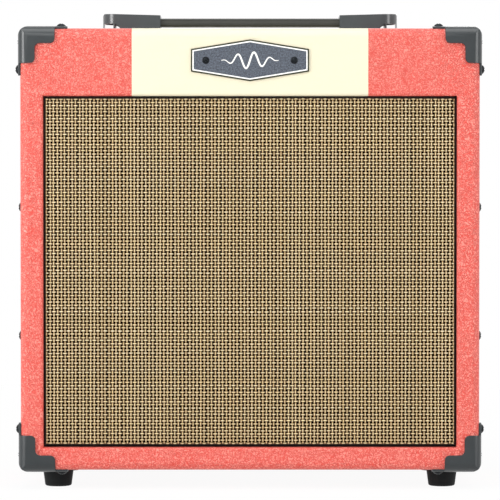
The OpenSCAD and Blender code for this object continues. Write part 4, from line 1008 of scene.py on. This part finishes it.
# Material 1 is the line's enamel, and 2 the face
for index, width, depth in ((1, RIM_W, 0), (2, LINE_W, 0), (2, SINK_W, -SINK)):
    bpy.ops.mesh.inset(thickness=width, depth=depth, use_boundary=True)
    badge.active_material_index = index
    bpy.ops.object.material_slot_assign()
pick(lambda edge: edge.is_boundary, "EDGE")
extrude((0, badge_high.y - badge_low.y, 0))
bpy.ops.mesh.edge_face_add()
bpy.ops.mesh.select_all(action="SELECT")
bpy.ops.mesh.normals_make_consistent(inside=False)
close_edit()
modify(badge, "BEVEL", width=BADGE_BEVEL, segments=2, limit_method="ANGLE",
       angle_limit=math.radians(60))
smooth(badge, 20)
print("badge:", len(badge.data.polygons), "faces, each end", round(BADGE_END_H / MM, 1), "mm high")

# %% Wave on the badge
WAVE_L = 46 * MM
WAVE_H = 6.6 * MM
WAVES = 3.5
WAVE_CUTS = 111
TIP_HALF_W = 0.25  # in millimetres, and how much wider the middle is
SWELL = 0.5
TAPER = 1.3
bpy.ops.mesh.primitive_plane_add(size=1, rotation=(math.radians(90), 0, 0))
wave = bpy.context.object
wave.scale = (WAVE_L, 1.5 * MM, 1)
settle(wave, "badge_wave")
edit(wave, "EDGE")
pick(lambda edge: abs(edge.verts[0].co.x - edge.verts[1].co.x) > 1 * MM, "EDGE")
bpy.ops.mesh.subdivide(number_cuts=WAVE_CUTS)
close_edit()
for vertex in wave.data.vertices:
    along = vertex.co.x / (WAVE_L / 2)
    taper = max(math.cos(along * math.pi / 2), 0) ** TAPER
    turn = along * WAVES * math.pi
    lift = WAVE_H * taper * math.sin(turn)
    slope = WAVE_H * taper * math.cos(turn) * WAVES * math.pi / (WAVE_L / 2)
    side = math.copysign(1, vertex.co.z) * (TIP_HALF_W + SWELL * taper) * MM
    length = math.hypot(1, slope)
    vertex.co.x -= side * slope / length
    vertex.co.z = badge_mid.z + lift + side / length
    vertex.co.y = badge_low.y + SINK
modify(wave, "SOLIDIFY", thickness=SINK, offset=1)
dress(wave, white_enamel)
print("wave:", len(wave.data.polygons), "faces")

# %% [markdown]
# ## Strap
# The strap is a steel band inside moulded vinyl. It has a welt along its long edges and small ribs
# below, where the fingers lie. Its ends slide in the two caps, so the middle lifts by 15 mm.

# %% Strap section
ends_low, ends_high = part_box("handle_strap_ends")
strap_mid = (ends_low + ends_high) / 2
STRAP_HALF_W = (ends_high.y - ends_low.y) / 2
STRAP_HALF_T = (ends_high.z - ends_low.z) / 2
STRAP_STEP = 1.5 * MM
RIB_RANGE = 52 * MM
RIB_HALF_W = 8 * MM
RIB_H = 0.7 * MM
# A quarter of the section, in millimetres, for a strap of half width 12 and half thickness 3.2
strap_quarter = [(12.0, 0.0), (12.0, 1.15), (11.72, 1.4), (11.72, 1.75), (11.95, 2.0), (11.7, 2.55),
                 (11.1, 3.0), (10.3, 3.2), (6.0, 3.2), (0.0, 3.2)]


def strap_outline():
    """The strap's section, as points (y, z) round its middle, in metres."""
    right = strap_quarter
    upper = right + [(-y, z) for y, z in reversed(right[:-1])]
    lower = [(y, -z) for y, z in reversed(upper[1:-1])]
    return [(y * STRAP_HALF_W / 12, z * STRAP_HALF_T / 3.2) for y, z in upper + lower]


outline = strap_outline()
print("strap section:", len(outline), "points")

# %% Two halves of the strap
steps = round(ends_high.x / STRAP_STEP)
for side, name in ((-1, "strap_left"), (1, "strap_right")):
    bpy.ops.mesh.primitive_circle_add(vertices=len(outline), radius=1, fill_type="NOTHING")
    half = bpy.context.object
    select_only(half)
    for vertex, (y, z) in zip(half.data.vertices, outline):
        vertex.co = (0, strap_mid.y + y, strap_mid.z + z)
    edit(half, "VERT")
    bpy.ops.mesh.select_all(action="SELECT")
    step = side * ends_high.x / steps
    extrude((step, 0, 0))
    close_edit()
    repeat(half, steps, (step, 0, 0), join=True)
    close_ends(half, len(outline))
    for vertex in half.data.vertices:
        below = (vertex.co.z < strap_mid.z - 0.9 * STRAP_HALF_T
                 and abs(vertex.co.y - strap_mid.y) < RIB_HALF_W)
        if below and 1 * MM < abs(vertex.co.x) < RIB_RANGE and round(vertex.co.x / step) % 3 == 0:
            vertex.co.z += RIB_H
    settle(half, name)
    smooth(half, 40)
    dress(half, strap_vinyl, None)
    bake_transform(half)
    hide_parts("handle_grip", "handle_strap_ends")
    print(name, "has", len(half.data.polygons), "faces")

# %% [markdown]
# ## Marks on the panel
# The legends are screen printed in white: a scale from 0 to 10 round every knob, with a tick at
# each number. A picture on the panel could carry them, but shapes as thin as ink stay sharp from
# close by. One scale is laid out with text and small blocks, made a mesh, and copied to each knob.

# %% One scale
first_knob = centre_of("gain_knob")
knob_pitch = centre_of("volume_knob").x - first_knob.x
TICK_R = 12.1 * MM
NUMBER_R = 14.7 * MM
PRINT_T = 0.04 * MM
FIRST_TURN = -150
TURN_STEP = 30
TICK_W = 0.28 * MM
TICK_L = 1.3 * MM
LONG_TICK_L = 1.8 * MM
NUMBER_H = 2.5 * MM
printed = []
for value in range(11):
    turn = math.radians(FIRST_TURN + TURN_STEP * value)
    way = Vector((math.sin(turn), math.cos(turn), 0))
    bpy.ops.mesh.primitive_cube_add(size=1, rotation=(0, 0, -turn))
    tick = bpy.context.object
    tick.scale = (TICK_W, TICK_L if value % 5 else LONG_TICK_L, PRINT_T)
    tick.location = Vector((first_knob.x, first_knob.y, panel_top)) + TICK_R * way
    printed.append(settle(tick, "tick"))
    bpy.ops.object.text_add()
    number = bpy.context.object
    number.data.body = str(value)
    number.data.size = NUMBER_H
    number.data.align_x = "CENTER"
    number.data.align_y = "CENTER"
    number.data.resolution_u = 2
    number.data.extrude = PRINT_T / 2
    number.location = Vector((first_knob.x, first_knob.y, panel_top)) + NUMBER_R * way
    select_only(number)
    bpy.ops.object.convert(target="MESH")
    printed.append(settle(bpy.context.object, "number"))
for piece in printed:
    piece.select_set(True)
bpy.context.view_layer.objects.active = printed[0]
bpy.ops.object.join()
scales = settle(bpy.context.object, "panel_scales")
repeat(scales, len(KNOBS), (knob_pitch, 0, 0))
dress(scales, white_enamel)
print("scales:", len(scales.data.polygons), "faces")
